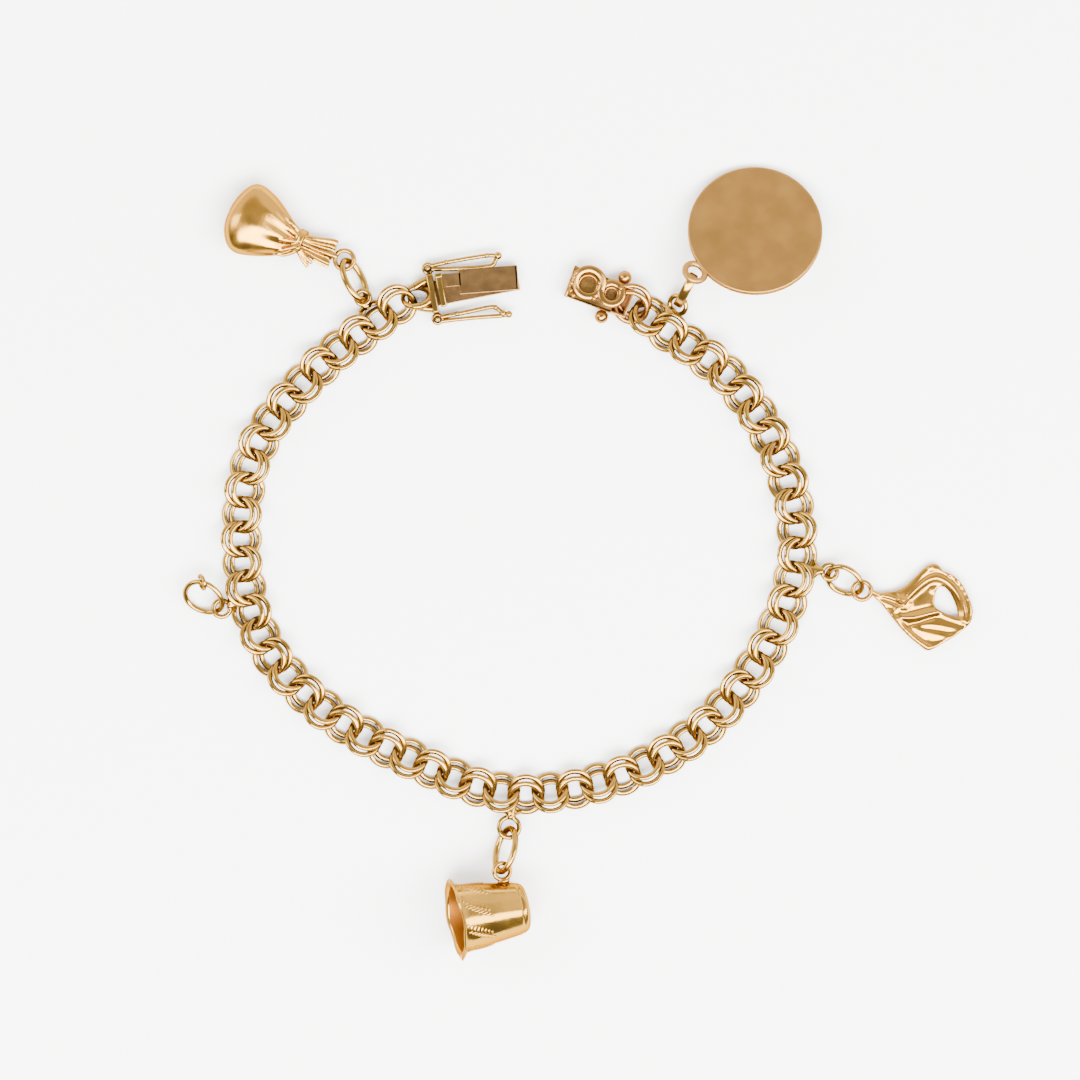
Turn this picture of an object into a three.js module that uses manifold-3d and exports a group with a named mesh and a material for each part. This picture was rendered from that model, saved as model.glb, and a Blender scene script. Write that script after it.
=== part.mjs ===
// A charm bracelet of 14 ct gold, lying open on a flat surface as it does when it is taken off.
// A double-ring link chain, a box clasp with two side catches, and a money bag, a round disc,
// a thimble, a draped cast charm and an empty jump ring on small eyes along its outer side.
// Millimetres, +Z up, the surface at z = 0, the origin under the middle of the whole bracelet.

import * as THREE from 'three';
import { mergeVertices } from 'three/addons/utils/BufferGeometryUtils.js';
import Module from 'manifold-3d';

// Chain: a link is two pairs of round rings, one pair leaning out and the next one leaning in
const linkCount = 29;
const ringRadius = 1.88;
const ringWire = 0.44;
const ringStack = 0.48;
const ringShift = 0.6;
const ringLean = 28;
const pairSpacing = 2.88;
const solderWidth = 0.2;
const spotWidth = 0.12;
const wireSides = 5;
const ringSides = 10;

// Route of the links' middles, every second link from the tongue round to the box
const routeKnots = [
  [-21.98, 29.13], [-30.74, 21.90], [-37.27, 13.08], [-38.91, 2.15], [-36.6, -8.5],
  [-29.8, -16.6], [-19.46, -22.65], [-7.95, -26.62], [4.03, -25.02], [14.37, -19.31],
  [21.90, -10.06], [25.44, 0.45], [23.92, 11.17], [18.17, 20.96], [9.44, 27.75],
];

// Small eyes and jump links
const clearance = 0.06;
const eyeHeight = 1.4;
const eyeWire = 0.5;
const jumpWire = 0.54;

// Eyes soldered to the chain: how far along the link they sit and the length of their solder neck
const chainEyes = {
  bag: { link: 1, along: 1.12, neck: 0.87, radius: 0.8 },
  empty: { link: 8, along: 0.2, neck: 0.83, radius: 0.96 },
  thimble: { link: 15, along: -0.25, neck: 1.3, radius: 1.18 },
  drape: { link: 23, along: 0, neck: 1.7, radius: 0.85 },
  disc: { link: 29, along: -0.41, neck: 0.58, radius: 1.1, rise: 38, towards: 246 },
};

// Jump links: size over the wire's middle, lean about the long axis, heading from the chain's eye
const jumpLinks = {
  bag: { halfLength: 2.45, halfWidth: 1.4, egg: 0, lean: 48, heading: 116, slack: 0.75 },
  empty: { halfLength: 2.3, halfWidth: 2.0, egg: 0.12, lean: -38, heading: 149, slack: 0.5 },
  thimble: { halfLength: 2.6, halfWidth: 2.0, egg: 0, lean: 60, heading: -99, slack: 0.7 },
  drape: { halfLength: 2.1, halfWidth: 1.8, egg: -0.12, lean: 40, heading: -30, slack: 0.6 },
};

// Flat strip link that carries the disc, standing on its edge
const stripHalfLength = 2.3;
const stripHalfHeight = 1.15;
const stripThickness = 0.32;
const stripWidth = 0.92;
const stripHeading = 62;
const stripSlack = 0.7;

// Money bag, from the eye at its mouth to its base
const bagHeading = 157.5;
const bagEyeRadius = 1.1;
const bagLength = 12.8;
const bagWidth = 8.35;
const bagThickness = 4.8;
const bagMouthGap = 1.75;
const bagSides = 14;

// Disc
const discRadius = 7.8;
const discThickness = 0.9;
const discLean = 18;
const discHeading = 37;
const discEyeRadius = 1.2;
const discEyeTilt = 24;
const discSides = 28;

// Thimble
const thimbleHeading = 189.6;
const thimbleLength = 8.1;
const thimbleMouthRadius = 4.05;
const thimbleRimRadius = 4.6;
const thimbleEndRadius = 2.95;
const thimbleWall = 0.32;
const thimbleEyeRadius = 0.95;
const thimbleEyeStation = 2.1;
const thimbleSides = 14;

// Draped charm
const drapeLength = 11.6;
const drapeWidth = 10.15;
const drapeThickness = 1.7;
const drapeRidge = 0.62;
const drapeEyeRadius = 1.05;
const drapeTipGap = 1.38;
const drapeTipRise = 0.14;
const drapeHeading = 0;

// Empty jump ring and the broken eye left on it
const emptyEndHeight = 1.75;
const brokenEyeRadius = 0.78;
const brokenEyeWire = 0.42;
const brokenEyeLean = 48;
const brokenEyeAngle = 60;

// Clasp tongue
const hopHeading = 21;
const tongueHeading = 11;
const loopSpacing = 2.5;
const loopHalfLength = 1.7;
const loopHalfWidth = 1.45;
const loopWire = 0.44;
const loopLean = 42;
const plateLength = 4.5;
const plateThickness = 0.75;
const plateHeight = 2.2;
const plateBase = 0.1;
const barGap = 0.3;
const barLength = 4.2;
const barThickness = 0.7;
const tongueLength = 8.7;
const tongueWidth = 2.95;
const neckWidth = 1.6;
const neckLength = 1.5;
const leafThickness = 0.35;
const leafOpening = 0.75;

// Side catches: a wire eye on a post of the end plate, a hairpin of wire and a ball tip
const catchWire = 0.4;
const catchEyeRadius = 0.46;
const catchLength = 8.3;
const catchBulge = 1.05;
const catchTip = 0.42;
const catchHeight = 1.2;
const catchPost = 0.34;
const catchPostOut = 0.74;
const catchHeadings = { outer_catch: 10, inner_catch: 4 };

// Clasp box
const endSpacing = 2.4;
const boxHeading = -20.2;
const boxLength = 7.5;
const boxWidth = 3.7;
const boxHeight = 2.05;
const boxWall = 0.32;
const boxRoofLength = 5.7;
const boxEndStation = 7.75;
const firstRing = { station: 1.75, radius: 1.78, band: 0.78 };
const secondRing = { station: 4.6, radius: 1.45, band: 0.62 };
const roofRingHeight = 0.5;
const studRadius = 0.8;
const studOut = 0.75;
const studPost = 0.55;
const studHeight = 1.15;
const studStations = { upper: 5.9, lower: 4.9 };

const rad = THREE.MathUtils.degToRad;
const xAxis = new THREE.Vector3(1, 0, 0);
const yAxis = new THREE.Vector3(0, 1, 0);
const zAxis = new THREE.Vector3(0, 0, 1);
const vec = (x, y, z) => new THREE.Vector3(x, y, z);

const wasm = await Module();
wasm.setup();

// Closed geometry to solid and back

function signedVolume(position, index) {
  const [a, b, c] = [vec(), vec(), vec()];
  let sum = 0;
  for (let i = 0; i < index.count; i += 3) {
    a.fromBufferAttribute(position, index.getX(i));
    b.fromBufferAttribute(position, index.getX(i + 1));
    c.fromBufferAttribute(position, index.getX(i + 2));
    sum += a.dot(b.cross(c));
  }
  return sum / 6;
}

function toSolid(geometry) {
  const bare = geometry.clone();
  bare.deleteAttribute('normal');
  bare.deleteAttribute('uv');
  const merged = mergeVertices(bare, 1e-4);
  const triangles = new Uint32Array(merged.index.array);
  if (signedVolume(merged.attributes.position, merged.index) < 0) {
    triangles.reverse();
  }
  return new wasm.Manifold(new wasm.Mesh({
    numProp: 3,
    vertProperties: new Float32Array(merged.attributes.position.array),
    triVerts: triangles,
  }));
}

function toGeometry(solid) {
  const mesh = solid.getMesh();
  const geometry = new THREE.BufferGeometry();
  geometry.setAttribute('position', new THREE.BufferAttribute(mesh.vertProperties, 3));
  geometry.setIndex(new THREE.BufferAttribute(mesh.triVerts, 1));
  geometry.computeVertexNormals();
  return geometry;
}

function fuse(geometries) {
  return toGeometry(geometries.map(toSolid).reduce((sum, solid) => sum.add(solid)));
}

function cut(geometry, cutters) {
  return toGeometry(cutters.map(toSolid).reduce((rest, solid) => rest.subtract(solid), toSolid(geometry)));
}

// Basic shapes

function rod(from, to, width, sides = 3) {
  const run = to.clone().sub(from);
  const bar = new THREE.CylinderGeometry(width / 2, width / 2, run.length(), sides);
  bar.applyQuaternion(new THREE.Quaternion().setFromUnitVectors(yAxis, run.clone().normalize()));
  const middle = from.clone().add(to).multiplyScalar(0.5);
  return bar.translate(middle.x, middle.y, middle.z);
}

function block(x0, x1, y0, y1, z0, z1) {
  const box = new THREE.BoxGeometry(x1 - x0, y1 - y0, z1 - z0);
  return box.translate((x0 + x1) / 2, (y0 + y1) / 2, (z0 + z1) / 2);
}

function polygon(width, sides) {
  const shape = new THREE.Shape();
  for (let i = 0; i < sides; i++) {
    const turn = (2 * Math.PI * i) / sides;
    const [x, y] = [(width / 2) * Math.cos(turn), (width / 2) * Math.sin(turn)];
    if (i === 0) shape.moveTo(x, y);
    else shape.lineTo(x, y);
  }
  shape.closePath();
  return shape;
}

function wire(points, width, steps, sides = 5) {
  const extrudePath = new THREE.CatmullRomCurve3(points, false, 'catmullrom', 0.5);
  return new THREE.ExtrudeGeometry(polygon(width, sides), { steps, extrudePath });
}

// Closed oval of a given section, its long way along X: the section's width lies across the band
function oval(halfLength, halfWidth, section, steps, egg = 0) {
  const profile = [...section, section[0]].map(([out, up]) => new THREE.Vector2(1 + out, up));
  const ring = new THREE.LatheGeometry(profile, steps);
  ring.rotateX(Math.PI / 2);
  const position = ring.attributes.position;
  for (let i = 0; i < position.count; i++) {
    const [x, y] = [position.getX(i), position.getY(i)];
    const out = Math.hypot(x, y) - 1;
    const [c, s] = [x / (1 + out), y / (1 + out)];
    const width = halfWidth * (1 + egg * c);
    const normal = vec(c / halfLength, s / width, 0).normalize();
    position.setXY(i, halfLength * c + out * normal.x, width * s + out * normal.y);
  }
  return ring;
}

function roundSection(width, sides = wireSides) {
  return Array.from({ length: sides }, (_, i) => {
    const turn = (2 * Math.PI * i) / sides;
    return [(width / 2) * Math.cos(turn), (width / 2) * Math.sin(turn)];
  });
}

function bandSection(thickness, width) {
  const [t, w] = [thickness / 2, width / 2];
  return [[t, -w], [t, w], [-t, w], [-t, -w]];
}

function eyeRing(radius, width = eyeWire) {
  return oval(radius, radius, roundSection(width), ringSides);
}

// Chain

const lean = rad(ringLean);
const pairHalf = pairSpacing / 2;
const chainMiddle = (ringRadius - ringShift / 2) * Math.sin(lean) + (ringStack / 2) * Math.cos(lean)
  + ringWire / 2;

function ringPair(x, raisedSide) {
  return [1, -1].map((level) => {
    const ring = new THREE.TorusGeometry(ringRadius, ringWire / 2, wireSides, ringSides);
    ring.translate(0, (-level * raisedSide * ringShift) / 2, (level * ringStack) / 2);
    ring.rotateX(raisedSide * lean);
    return ring.translate(x, 0, 0);
  });
}

// A point on the middle of a ring's wire, at a given x and on a given side of the chain
function wirePoint(x, pair, level, side) {
  const reach = Math.sqrt(Math.max(0, ringRadius ** 2 - (x - pair.x) ** 2));
  const across = side * reach - (level * pair.raisedSide * ringShift) / 2;
  return vec(x, across, (level * ringStack) / 2).applyAxisAngle(xAxis, pair.raisedSide * lean);
}

const firstPair = { x: -pairHalf, raisedSide: -1 };
const secondPair = { x: pairHalf, raisedSide: 1 };

// Solder where the outer wires of the two pairs cross, and between the two rings of the first pair
function sideSolder(side) {
  return rod(wirePoint(0, firstPair, side, side), wirePoint(0, secondPair, -side, side), solderWidth);
}

function pairSolder(pair) {
  const reach = Math.sqrt(ringRadius ** 2 - (ringShift / 2) ** 2);
  const [upper, lower] = [1, -1].map((level) => (
    vec(pair.x - reach, 0, (level * ringStack) / 2).applyAxisAngle(xAxis, pair.raisedSide * lean)));
  return rod(upper, lower, spotWidth);
}

const linkParts = [
  ...ringPair(firstPair.x, firstPair.raisedSide),
  ...ringPair(secondPair.x, secondPair.raisedSide),
  sideSolder(1), sideSolder(-1), pairSolder(firstPair),
];
const linkGeometry = fuse(linkParts);

// An eye on the outer side of a link, with the neck of solder that joins it to the nearest wire
function chainEyeCentre({ along, neck, radius }) {
  const wireOut = -wirePoint(0, firstPair, -1, -1).y;
  return vec(along, -(wireOut + neck + radius), eyeHeight - chainMiddle);
}

function chainEyeParts(eye) {
  const centre = chainEyeCentre(eye);
  const onSecondPair = eye.along > pairHalf / 2;
  const outerWire = wirePoint(0, secondPair, 1, -1);
  const root = onSecondPair ? wirePoint(pairHalf, secondPair, 1, -1) : vec(0, outerWire.y, 0);
  const near = root.clone().sub(centre).setZ(0).setLength(eye.radius);
  const ring = eyeRing(eye.radius);
  if (eye.rise) {
    const hinge = xAxis.clone().applyAxisAngle(zAxis, rad(eye.towards - 90));
    const tilt = new THREE.Quaternion().setFromAxisAngle(hinge, rad(eye.rise));
    ring.applyQuaternion(tilt);
    near.applyQuaternion(tilt);
  }
  near.add(centre);
  ring.translate(centre.x, centre.y, centre.z);
  return [ring, rod(root, near, solderWidth)];
}

const route = new THREE.CatmullRomCurve3(
  routeKnots.map(([x, y]) => vec(x, y, 0)), false, 'catmullrom', 0.5);

// Links are numbered from 1 at the tongue: x along the run, y towards the wrist
function linkPlace(number) {
  const share = (number - 1) / (linkCount - 1);
  const middle = route.getPointAt(share);
  const run = route.getTangentAt(share);
  return new THREE.Matrix4().makeRotationZ(Math.atan2(run.y, run.x))
    .setPosition(middle.x, middle.y, chainMiddle);
}

// Materials

const polishedGold = new THREE.MeshStandardMaterial({ color: 0xd9ae62, roughness: 0.22, metalness: 1 });
const satinGold = new THREE.MeshStandardMaterial({ color: 0xc49a62, roughness: 0.42, metalness: 1 });

const bracelet = new THREE.Group();

function addPiece(name, geometry, place, material = polishedGold) {
  const piece = new THREE.Mesh(geometry, material);
  piece.name = name;
  piece.applyMatrix4(place);
  bracelet.add(piece);
  return piece;
}

for (let number = 1; number <= linkCount; number++) {
  const eye = Object.values(chainEyes).find(({ link }) => link === number);
  const geometry = eye ? fuse([...linkParts, ...chainEyeParts(eye)]) : linkGeometry;
  addPiece(`chain_link_${String(number).padStart(2, '0')}`, geometry, linkPlace(number));
}

// Hanging: a link of given half length between two eyes, its middle and the second eye's centre

function headingPlace(x, y, z, degrees) {
  return new THREE.Matrix4().makeRotationZ(rad(degrees)).setPosition(x, y, z);
}

function eyeGrip(radius, thickness, band = 0) {
  const inner = radius - eyeWire / 2;
  return Math.sqrt(inner ** 2 - (band / 2) ** 2) - thickness / 2 - clearance;
}

function hang(eye, endRadius, endHeight, { halfLength, heading, slack, thickness, band }) {
  const start = chainEyeCentre(eye).applyMatrix4(linkPlace(eye.link));
  const grips = [eyeGrip(eye.radius, thickness, band), eyeGrip(endRadius, thickness, band)];
  const span = grips[0] + grips[1] + 2 * halfLength - slack;
  const rise = Math.asin((endHeight - start.z) / span);
  const turn = new THREE.Quaternion().setFromAxisAngle(zAxis, rad(heading))
    .multiply(new THREE.Quaternion().setFromAxisAngle(yAxis, -rise));
  const run = xAxis.clone().applyQuaternion(turn);
  const middle = start.clone().addScaledVector(run, grips[0] - slack / 2 + halfLength);
  return { turn, middle, end: start.clone().addScaledVector(run, span) };
}

function jumpPlace({ turn, middle }, leanDegrees) {
  const leaning = new THREE.Quaternion().setFromAxisAngle(xAxis, rad(leanDegrees));
  return new THREE.Matrix4().compose(middle, turn.clone().multiply(leaning), vec(1, 1, 1));
}

function jumpGeometry({ halfLength, halfWidth, egg }) {
  return fuse([oval(halfLength, halfWidth, roundSection(jumpWire), ringSides, egg)]);
}

function hangJump(name, endRadius, endHeight) {
  const jump = { ...jumpLinks[name], thickness: jumpWire, band: 0 };
  const hanger = hang(chainEyes[name], endRadius, endHeight, jump);
  const piece = addPiece(`${name}_jump_link`, jumpGeometry(jump), jumpPlace(hanger, jump.lean));
  return { ...hanger, piece };
}

// Money bag: shares of the length from the mouth, and of the half width and half thickness
const bagSections = [
  { at: 0, reach: 0.36 },
  { at: 0.16, reach: 0.34 },
  { at: 0.3, reach: 0.2 },
  { at: 0.36, reach: 0.22 },
  { at: 0.48, reach: 0.46 },
  { at: 0.64, reach: 0.76 },
  { at: 0.8, reach: 0.97 },
  { at: 0.9, reach: 1 },
  { at: 0.97, reach: 0.86 },
  { at: 1, reach: 0.55 },
];

// The belly rests on the surface, so the bag rises from its eye towards the base
const bagRise = Math.asin((bagThickness / 2 - eyeHeight) / (bagMouthGap + 0.9 * bagLength));

function moneyBag() {
  const profile = bagSections.map(({ at, reach }) => (
    new THREE.Vector2((reach * bagWidth) / 2, bagMouthGap + at * bagLength)));
  profile.unshift(new THREE.Vector2(0, profile[0].y));
  profile.push(new THREE.Vector2(0, bagMouthGap + bagLength));
  const body = new THREE.LatheGeometry(profile, bagSides);
  body.rotateZ(-Math.PI / 2);
  body.scale(1, 1, bagThickness / bagWidth);
  body.rotateY(-bagRise);
  const neckEnd = vec(bagMouthGap + bagLength * 0.1, 0, 0);
  return fuse([body, eyeRing(bagEyeRadius), rod(vec(bagEyeRadius, 0, 0), neckEnd, eyeWire)]);
}

const bagHang = hangJump('bag', bagEyeRadius, eyeHeight);
const bagPiece = addPiece('money_bag', moneyBag(),
  headingPlace(bagHang.end.x, bagHang.end.y, bagHang.end.z, bagHeading));

// Disc: it leans on its strip link, and its far edge rests on the surface
const discReach = discEyeRadius + discRadius - eyeWire / 4;
const discLeanAngle = rad(discLean);
const discCentreUp = discReach * Math.sin(rad(discHeading));
const discEyeHeight = (discCentreUp + discRadius) * Math.sin(discLeanAngle)
  + (discThickness / 2) * Math.cos(discLeanAngle);
const stripHang = hang(chainEyes.disc, discEyeRadius, discEyeHeight, {
  halfLength: stripHalfLength, heading: stripHeading, slack: stripSlack,
  thickness: stripThickness, band: stripWidth,
});
const stripSection = bandSection(stripThickness, stripWidth);
addPiece('disc_strip_link', fuse([oval(stripHalfLength, stripHalfHeight, stripSection, 12)]),
  jumpPlace(stripHang, 90));

function discGeometry() {
  const plate = new THREE.CylinderGeometry(discRadius, discRadius, discThickness, discSides);
  plate.rotateX(Math.PI / 2);
  plate.translate(discReach, 0, 0);
  const eye = eyeRing(discEyeRadius).translate(-discEyeRadius, 0, 0);
  eye.rotateY(rad(discEyeTilt)).translate(discEyeRadius, 0, 0);
  return fuse([plate, eye]);
}

const discTurn = new THREE.Matrix4().makeRotationX(-discLeanAngle)
  .multiply(new THREE.Matrix4().makeRotationZ(rad(discHeading)));
addPiece('disc', discGeometry(), discTurn.setPosition(stripHang.end), satinGold);

// Thimble: it lies on its rim and its closed end, so its mouth looks a little upwards
const thimbleSlope = Math.atan2(thimbleRimRadius - thimbleEndRadius, thimbleLength);

function thimbleRadiusAt(station) {
  return THREE.MathUtils.lerp(thimbleEndRadius, thimbleMouthRadius, station / thimbleLength);
}

function thimbleGeometry() {
  const [end, mouth, rim, wall] = [thimbleEndRadius, thimbleMouthRadius, thimbleRimRadius, thimbleWall];
  const flare = 2 * (rim - mouth);
  const profile = [
    [0, 0], [end - wall, 0], [end, wall], [thimbleRadiusAt(thimbleLength - flare), thimbleLength - flare],
    [rim, thimbleLength], [rim - wall, thimbleLength], [mouth - wall, thimbleLength - flare],
    [end - wall, 1.3 * wall], [0, 1.3 * wall],
  ].map(([r, along]) => new THREE.Vector2(r, along));
  const cup = new THREE.LatheGeometry(profile, thimbleSides);
  cup.rotateZ(-Math.PI / 2);
  const out = thimbleRadiusAt(thimbleEyeStation);
  const eyeAt = out + thimbleEyeRadius;
  const eye = eyeRing(thimbleEyeRadius).translate(thimbleEyeStation, -eyeAt, 0);
  return fuse([cup, eye, rod(vec(thimbleEyeStation, -out + wall / 2, 0),
    vec(thimbleEyeStation, -out - eyeWire / 2, 0), eyeWire)]);
}

// From the closed end's centre to the eye, in the thimble's own frame
const thimbleEyeOffset = vec(thimbleEyeStation,
  -(thimbleRadiusAt(thimbleEyeStation) + thimbleEyeRadius), 0);
const thimbleEndHeight = thimbleEndRadius * Math.cos(thimbleSlope);
const thimbleTurn = new THREE.Matrix4().makeRotationZ(rad(thimbleHeading))
  .multiply(new THREE.Matrix4().makeRotationY(-thimbleSlope));
const thimbleEyeFromEnd = thimbleEyeOffset.clone().applyMatrix4(thimbleTurn);
const thimbleHang = hangJump('thimble', thimbleEyeRadius, thimbleEndHeight + thimbleEyeFromEnd.z);
const thimbleEnd = thimbleHang.end.clone().sub(thimbleEyeFromEnd);
addPiece('thimble', thimbleGeometry(), thimbleTurn.setPosition(thimbleEnd));

// Draped charm: outline, opening and raised folds as shares of its length and width
const drapeOutline = [
  [0, 0.136], [0.227, 0.191], [0.34, 0.261], [0.48, 0.421], [0.57, 0.495], [0.64, 0.492],
  [0.693, 0.409], [0.77, 0.382], [0.85, 0.313], [0.92, 0.199], [0.99, 0.016], [0.995, -0.11],
  [0.94, -0.224], [0.808, -0.333], [0.66, -0.435], [0.54, -0.498], [0.46, -0.441],
  [0.29, -0.258], [0.142, -0.054], [0.01, 0.1],
];
const drapeOpening = [
  [0.693, 0.247], [0.62, 0.193], [0.598, 0.073], [0.635, -0.024], [0.732, -0.08],
  [0.855, -0.104], [0.825, 0.039], [0.765, 0.176],
];
const drapeKnot = [0.29, 0.04];
const drapeFolds = [
  { name: 'opening rim', steps: 9,
    points: [[0.33, 0.06], [0.46, 0.2], [0.62, 0.34], [0.74, 0.31], [0.83, 0.18], [0.9, 0], [0.9, -0.15]] },
  { name: 'middle fold', steps: 3, points: [[0.2, -0.08], [0.38, -0.14], [0.64, -0.05]] },
  { name: 'lower fold', steps: 2, points: [[0.4, -0.16], [0.6, -0.2], [0.86, -0.2]] },
  { name: 'hem fold', steps: 2, points: [[0.24, -0.12], [0.4, -0.28], [0.57, -0.43]] },
  { name: 'upper fold', steps: 2, points: [[0.33, 0.12], [0.45, 0.3], [0.57, 0.43]] },
];

function drapeGeometry() {
  const at = ([u, v]) => new THREE.Vector2(u * drapeLength, (v - drapeTipRise) * drapeWidth);
  const shape = new THREE.Shape(drapeOutline.map(at));
  shape.holes.push(new THREE.Path(drapeOpening.map(at)));
  const body = new THREE.ExtrudeGeometry(shape, { depth: drapeThickness, bevelEnabled: false });
  const folds = drapeFolds.map(({ points, steps }) => (
    wire(points.map((p) => vec(at(p).x, at(p).y, drapeThickness)), drapeRidge, steps)));
  const knotAt = at(drapeKnot);
  const knot = new THREE.SphereGeometry(drapeRidge * 1.4, 7, 4);
  knot.translate(knotAt.x, knotAt.y, drapeThickness);
  const lowered = [body, knot, ...folds].map((part) => part.translate(drapeTipGap, 0, -eyeHeight));
  const tip = rod(vec(drapeEyeRadius, 0, 0), vec(drapeTipGap + drapeRidge, 0, 0), eyeWire);
  return fuse([...lowered, eyeRing(drapeEyeRadius), tip]);
}

const drapeHang = hangJump('drape', drapeEyeRadius, eyeHeight);
addPiece('draped_charm', drapeGeometry(),
  headingPlace(drapeHang.end.x, drapeHang.end.y, drapeHang.end.z, drapeHeading));

// Empty jump ring, with the broken eye of a lost charm round its wire
const emptyHang = hangJump('empty', chainEyes.empty.radius, emptyEndHeight);
const emptyJump = jumpLinks.empty;
const brokenTurn = rad(brokenEyeAngle);
const brokenWidth = emptyJump.halfWidth * (1 + emptyJump.egg * Math.cos(brokenTurn));
const brokenAt = vec(emptyJump.halfLength * Math.cos(brokenTurn), -brokenWidth * Math.sin(brokenTurn), 0);
const wireRun = Math.atan2(brokenWidth * Math.cos(brokenTurn), emptyJump.halfLength * Math.sin(brokenTurn));
const brokenPlace = jumpPlace(emptyHang, emptyJump.lean)
  .multiply(new THREE.Matrix4().makeRotationZ(wireRun).setPosition(brokenAt))
  .multiply(new THREE.Matrix4().makeRotationY(rad(brokenEyeLean)));
addPiece('broken_eye', fuse([eyeRing(brokenEyeRadius, brokenEyeWire)]), brokenPlace);

// Clasp tongue: its loop hooks into the first pair of rings
const tonguePlace = (() => {
  const ringCentre = vec(firstPair.x, 0, 0).applyMatrix4(linkPlace(1));
  const hop = xAxis.clone().applyAxisAngle(zAxis, rad(hopHeading)).multiplyScalar(loopSpacing);
  const centre = ringCentre.add(hop);
  return headingPlace(centre.x, centre.y, 0, tongueHeading);
})();
const plateStart = loopHalfLength - eyeWire / 2;
const plateEnd = plateStart + plateThickness;
const barStart = plateEnd + barGap;
const barEnd = barStart + barThickness;
const tongueTip = barEnd + tongueLength;
const postOut = plateLength / 2 + catchPostOut;
const postX = plateStart + plateThickness / 2;

function tongueGeometry() {
  const loop = oval(loopHalfLength, loopHalfWidth, roundSection(loopWire), ringSides);
  loop.rotateX(-rad(loopLean));
  loop.translate(0, 0, chainMiddle);
  const plateTop = plateBase + plateHeight;
  const plate = block(plateStart, plateEnd, -plateLength / 2, plateLength / 2, plateBase, plateTop);
  const lowTop = plateBase + leafThickness;
  const lowLeaf = block(plateEnd - leafThickness / 2, tongueTip, -tongueWidth / 2, tongueWidth / 2,
    plateBase, lowTop);
  const fold = block(tongueTip - leafThickness, tongueTip, -tongueWidth / 2, tongueWidth / 2,
    plateBase, lowTop + leafOpening + leafThickness);
  const highBase = lowTop + leafOpening;
  const highTop = highBase + leafThickness;
  const highLeaf = block(barEnd + neckLength, tongueTip, -tongueWidth / 2, tongueWidth / 2,
    highBase, highTop);
  const neckBottom = -tongueWidth / 2 + leafThickness;
  const neck = block(barEnd - leafThickness, barEnd + neckLength + leafThickness,
    neckBottom + tongueWidth - neckWidth - leafThickness * 2, neckBottom + tongueWidth - leafThickness * 2,
    highBase, highTop);
  const bar = block(barStart, barEnd, -barLength / 2, barLength / 2, highBase, plateTop + leafThickness);
  const posts = [1, -1].flatMap((side) => {
    const foot = plateLength / 2 - leafThickness;
    const arm = block(plateStart, plateEnd, Math.min(side * foot, side * postOut),
      Math.max(side * foot, side * postOut), plateBase, plateBase + leafThickness);
    const pin = rod(vec(postX, side * postOut, plateBase + leafThickness / 2),
      vec(postX, side * postOut, catchHeight + catchWire), catchPost, 8);
    return [arm, pin];
  });
  return fuse([loop, plate, lowLeaf, fold, highLeaf, neck, bar, ...posts]);
}

addPiece('clasp_tongue', tongueGeometry(), tonguePlace);

// Side catches: +Y is the side that faces the tongue
function catchGeometry(side) {
  const eye = oval(catchEyeRadius, catchEyeRadius, roundSection(catchWire), ringSides);
  const start = catchEyeRadius;
  const tip = catchLength;
  const outerWire = rod(vec(start, 0, 0), vec(tip, 0, 0), catchWire, 4);
  const innerWire = wire([
    vec(start, 0, 0), vec(tip * 0.25, side * catchBulge * 0.45, 0),
    vec(tip * 0.6, side * catchBulge * 0.8, 0), vec(tip * 0.85, side * catchBulge, 0), vec(tip, 0, 0),
  ], catchWire, 5, 4);
  const ball = new THREE.SphereGeometry(catchTip, 6, 4).translate(tip, 0, 0);
  return fuse([eye, outerWire, innerWire, ball]);
}

for (const [name, side] of [['outer_catch', 1], ['inner_catch', -1]]) {
  const pivot = vec(postX, side * postOut, catchHeight).applyMatrix4(tonguePlace);
  addPiece(name, catchGeometry(-side), headingPlace(pivot.x, pivot.y, pivot.z, catchHeadings[name]));
}

// Clasp box: a channel with a pierced roof of two ring ornaments, and a last pair of rings
const lastPairCentre = vec(secondPair.x + endSpacing, 0, 0).applyMatrix4(linkPlace(linkCount));
const boxPlace = headingPlace(lastPairCentre.x, lastPairCentre.y, 0, boxHeading)
  .multiply(new THREE.Matrix4().makeTranslation(-boxEndStation, 0, 0));

function flatRing({ station, radius, band }) {
  const ring = oval(radius, radius, bandSection(band, roofRingHeight), ringSides);
  return ring.translate(station, 0, boxHeight + roofRingHeight / 2 - boxWall / 4);
}

function boxGeometry() {
  const half = boxWidth / 2;
  const shell = block(0, boxLength, -half, half, 0, boxHeight);
  const cavity = block(-boxWall, boxLength - boxWall, boxWall - half, half - boxWall,
    boxWall, boxHeight - boxWall);
  const openEnd = block(boxRoofLength, boxLength + boxWall, boxWall - half, half - boxWall,
    boxWall, boxHeight + boxWall);
  const holes = [firstRing, secondRing].map(({ station, radius, band }) => {
    const hole = new THREE.CylinderGeometry(radius - band / 2, radius - band / 2, boxHeight, ringSides);
    hole.rotateX(Math.PI / 2);
    return hole.translate(station, 0, boxHeight);
  });
  const body = cut(shell, [cavity, openEnd, ...holes]);
  const studs = [['upper', 1], ['lower', -1]].flatMap(([name, side]) => {
    const centre = vec(studStations[name], side * (half + studOut), studHeight);
    const ball = new THREE.SphereGeometry(studRadius, 8, 5);
    ball.translate(centre.x, centre.y, centre.z);
    return [ball, rod(vec(centre.x, side * (half - boxWall / 2), studHeight), centre, studPost, 5)];
  });
  const endPair = ringPair(0, 1).map((ring) => (
    ring.translate(boxEndStation, 0, chainMiddle)));
  return fuse([body, flatRing(firstRing), flatRing(secondRing), ...studs, ...endPair]);
}

const boxPiece = addPiece('clasp_box', boxGeometry(), boxPlace);

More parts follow.
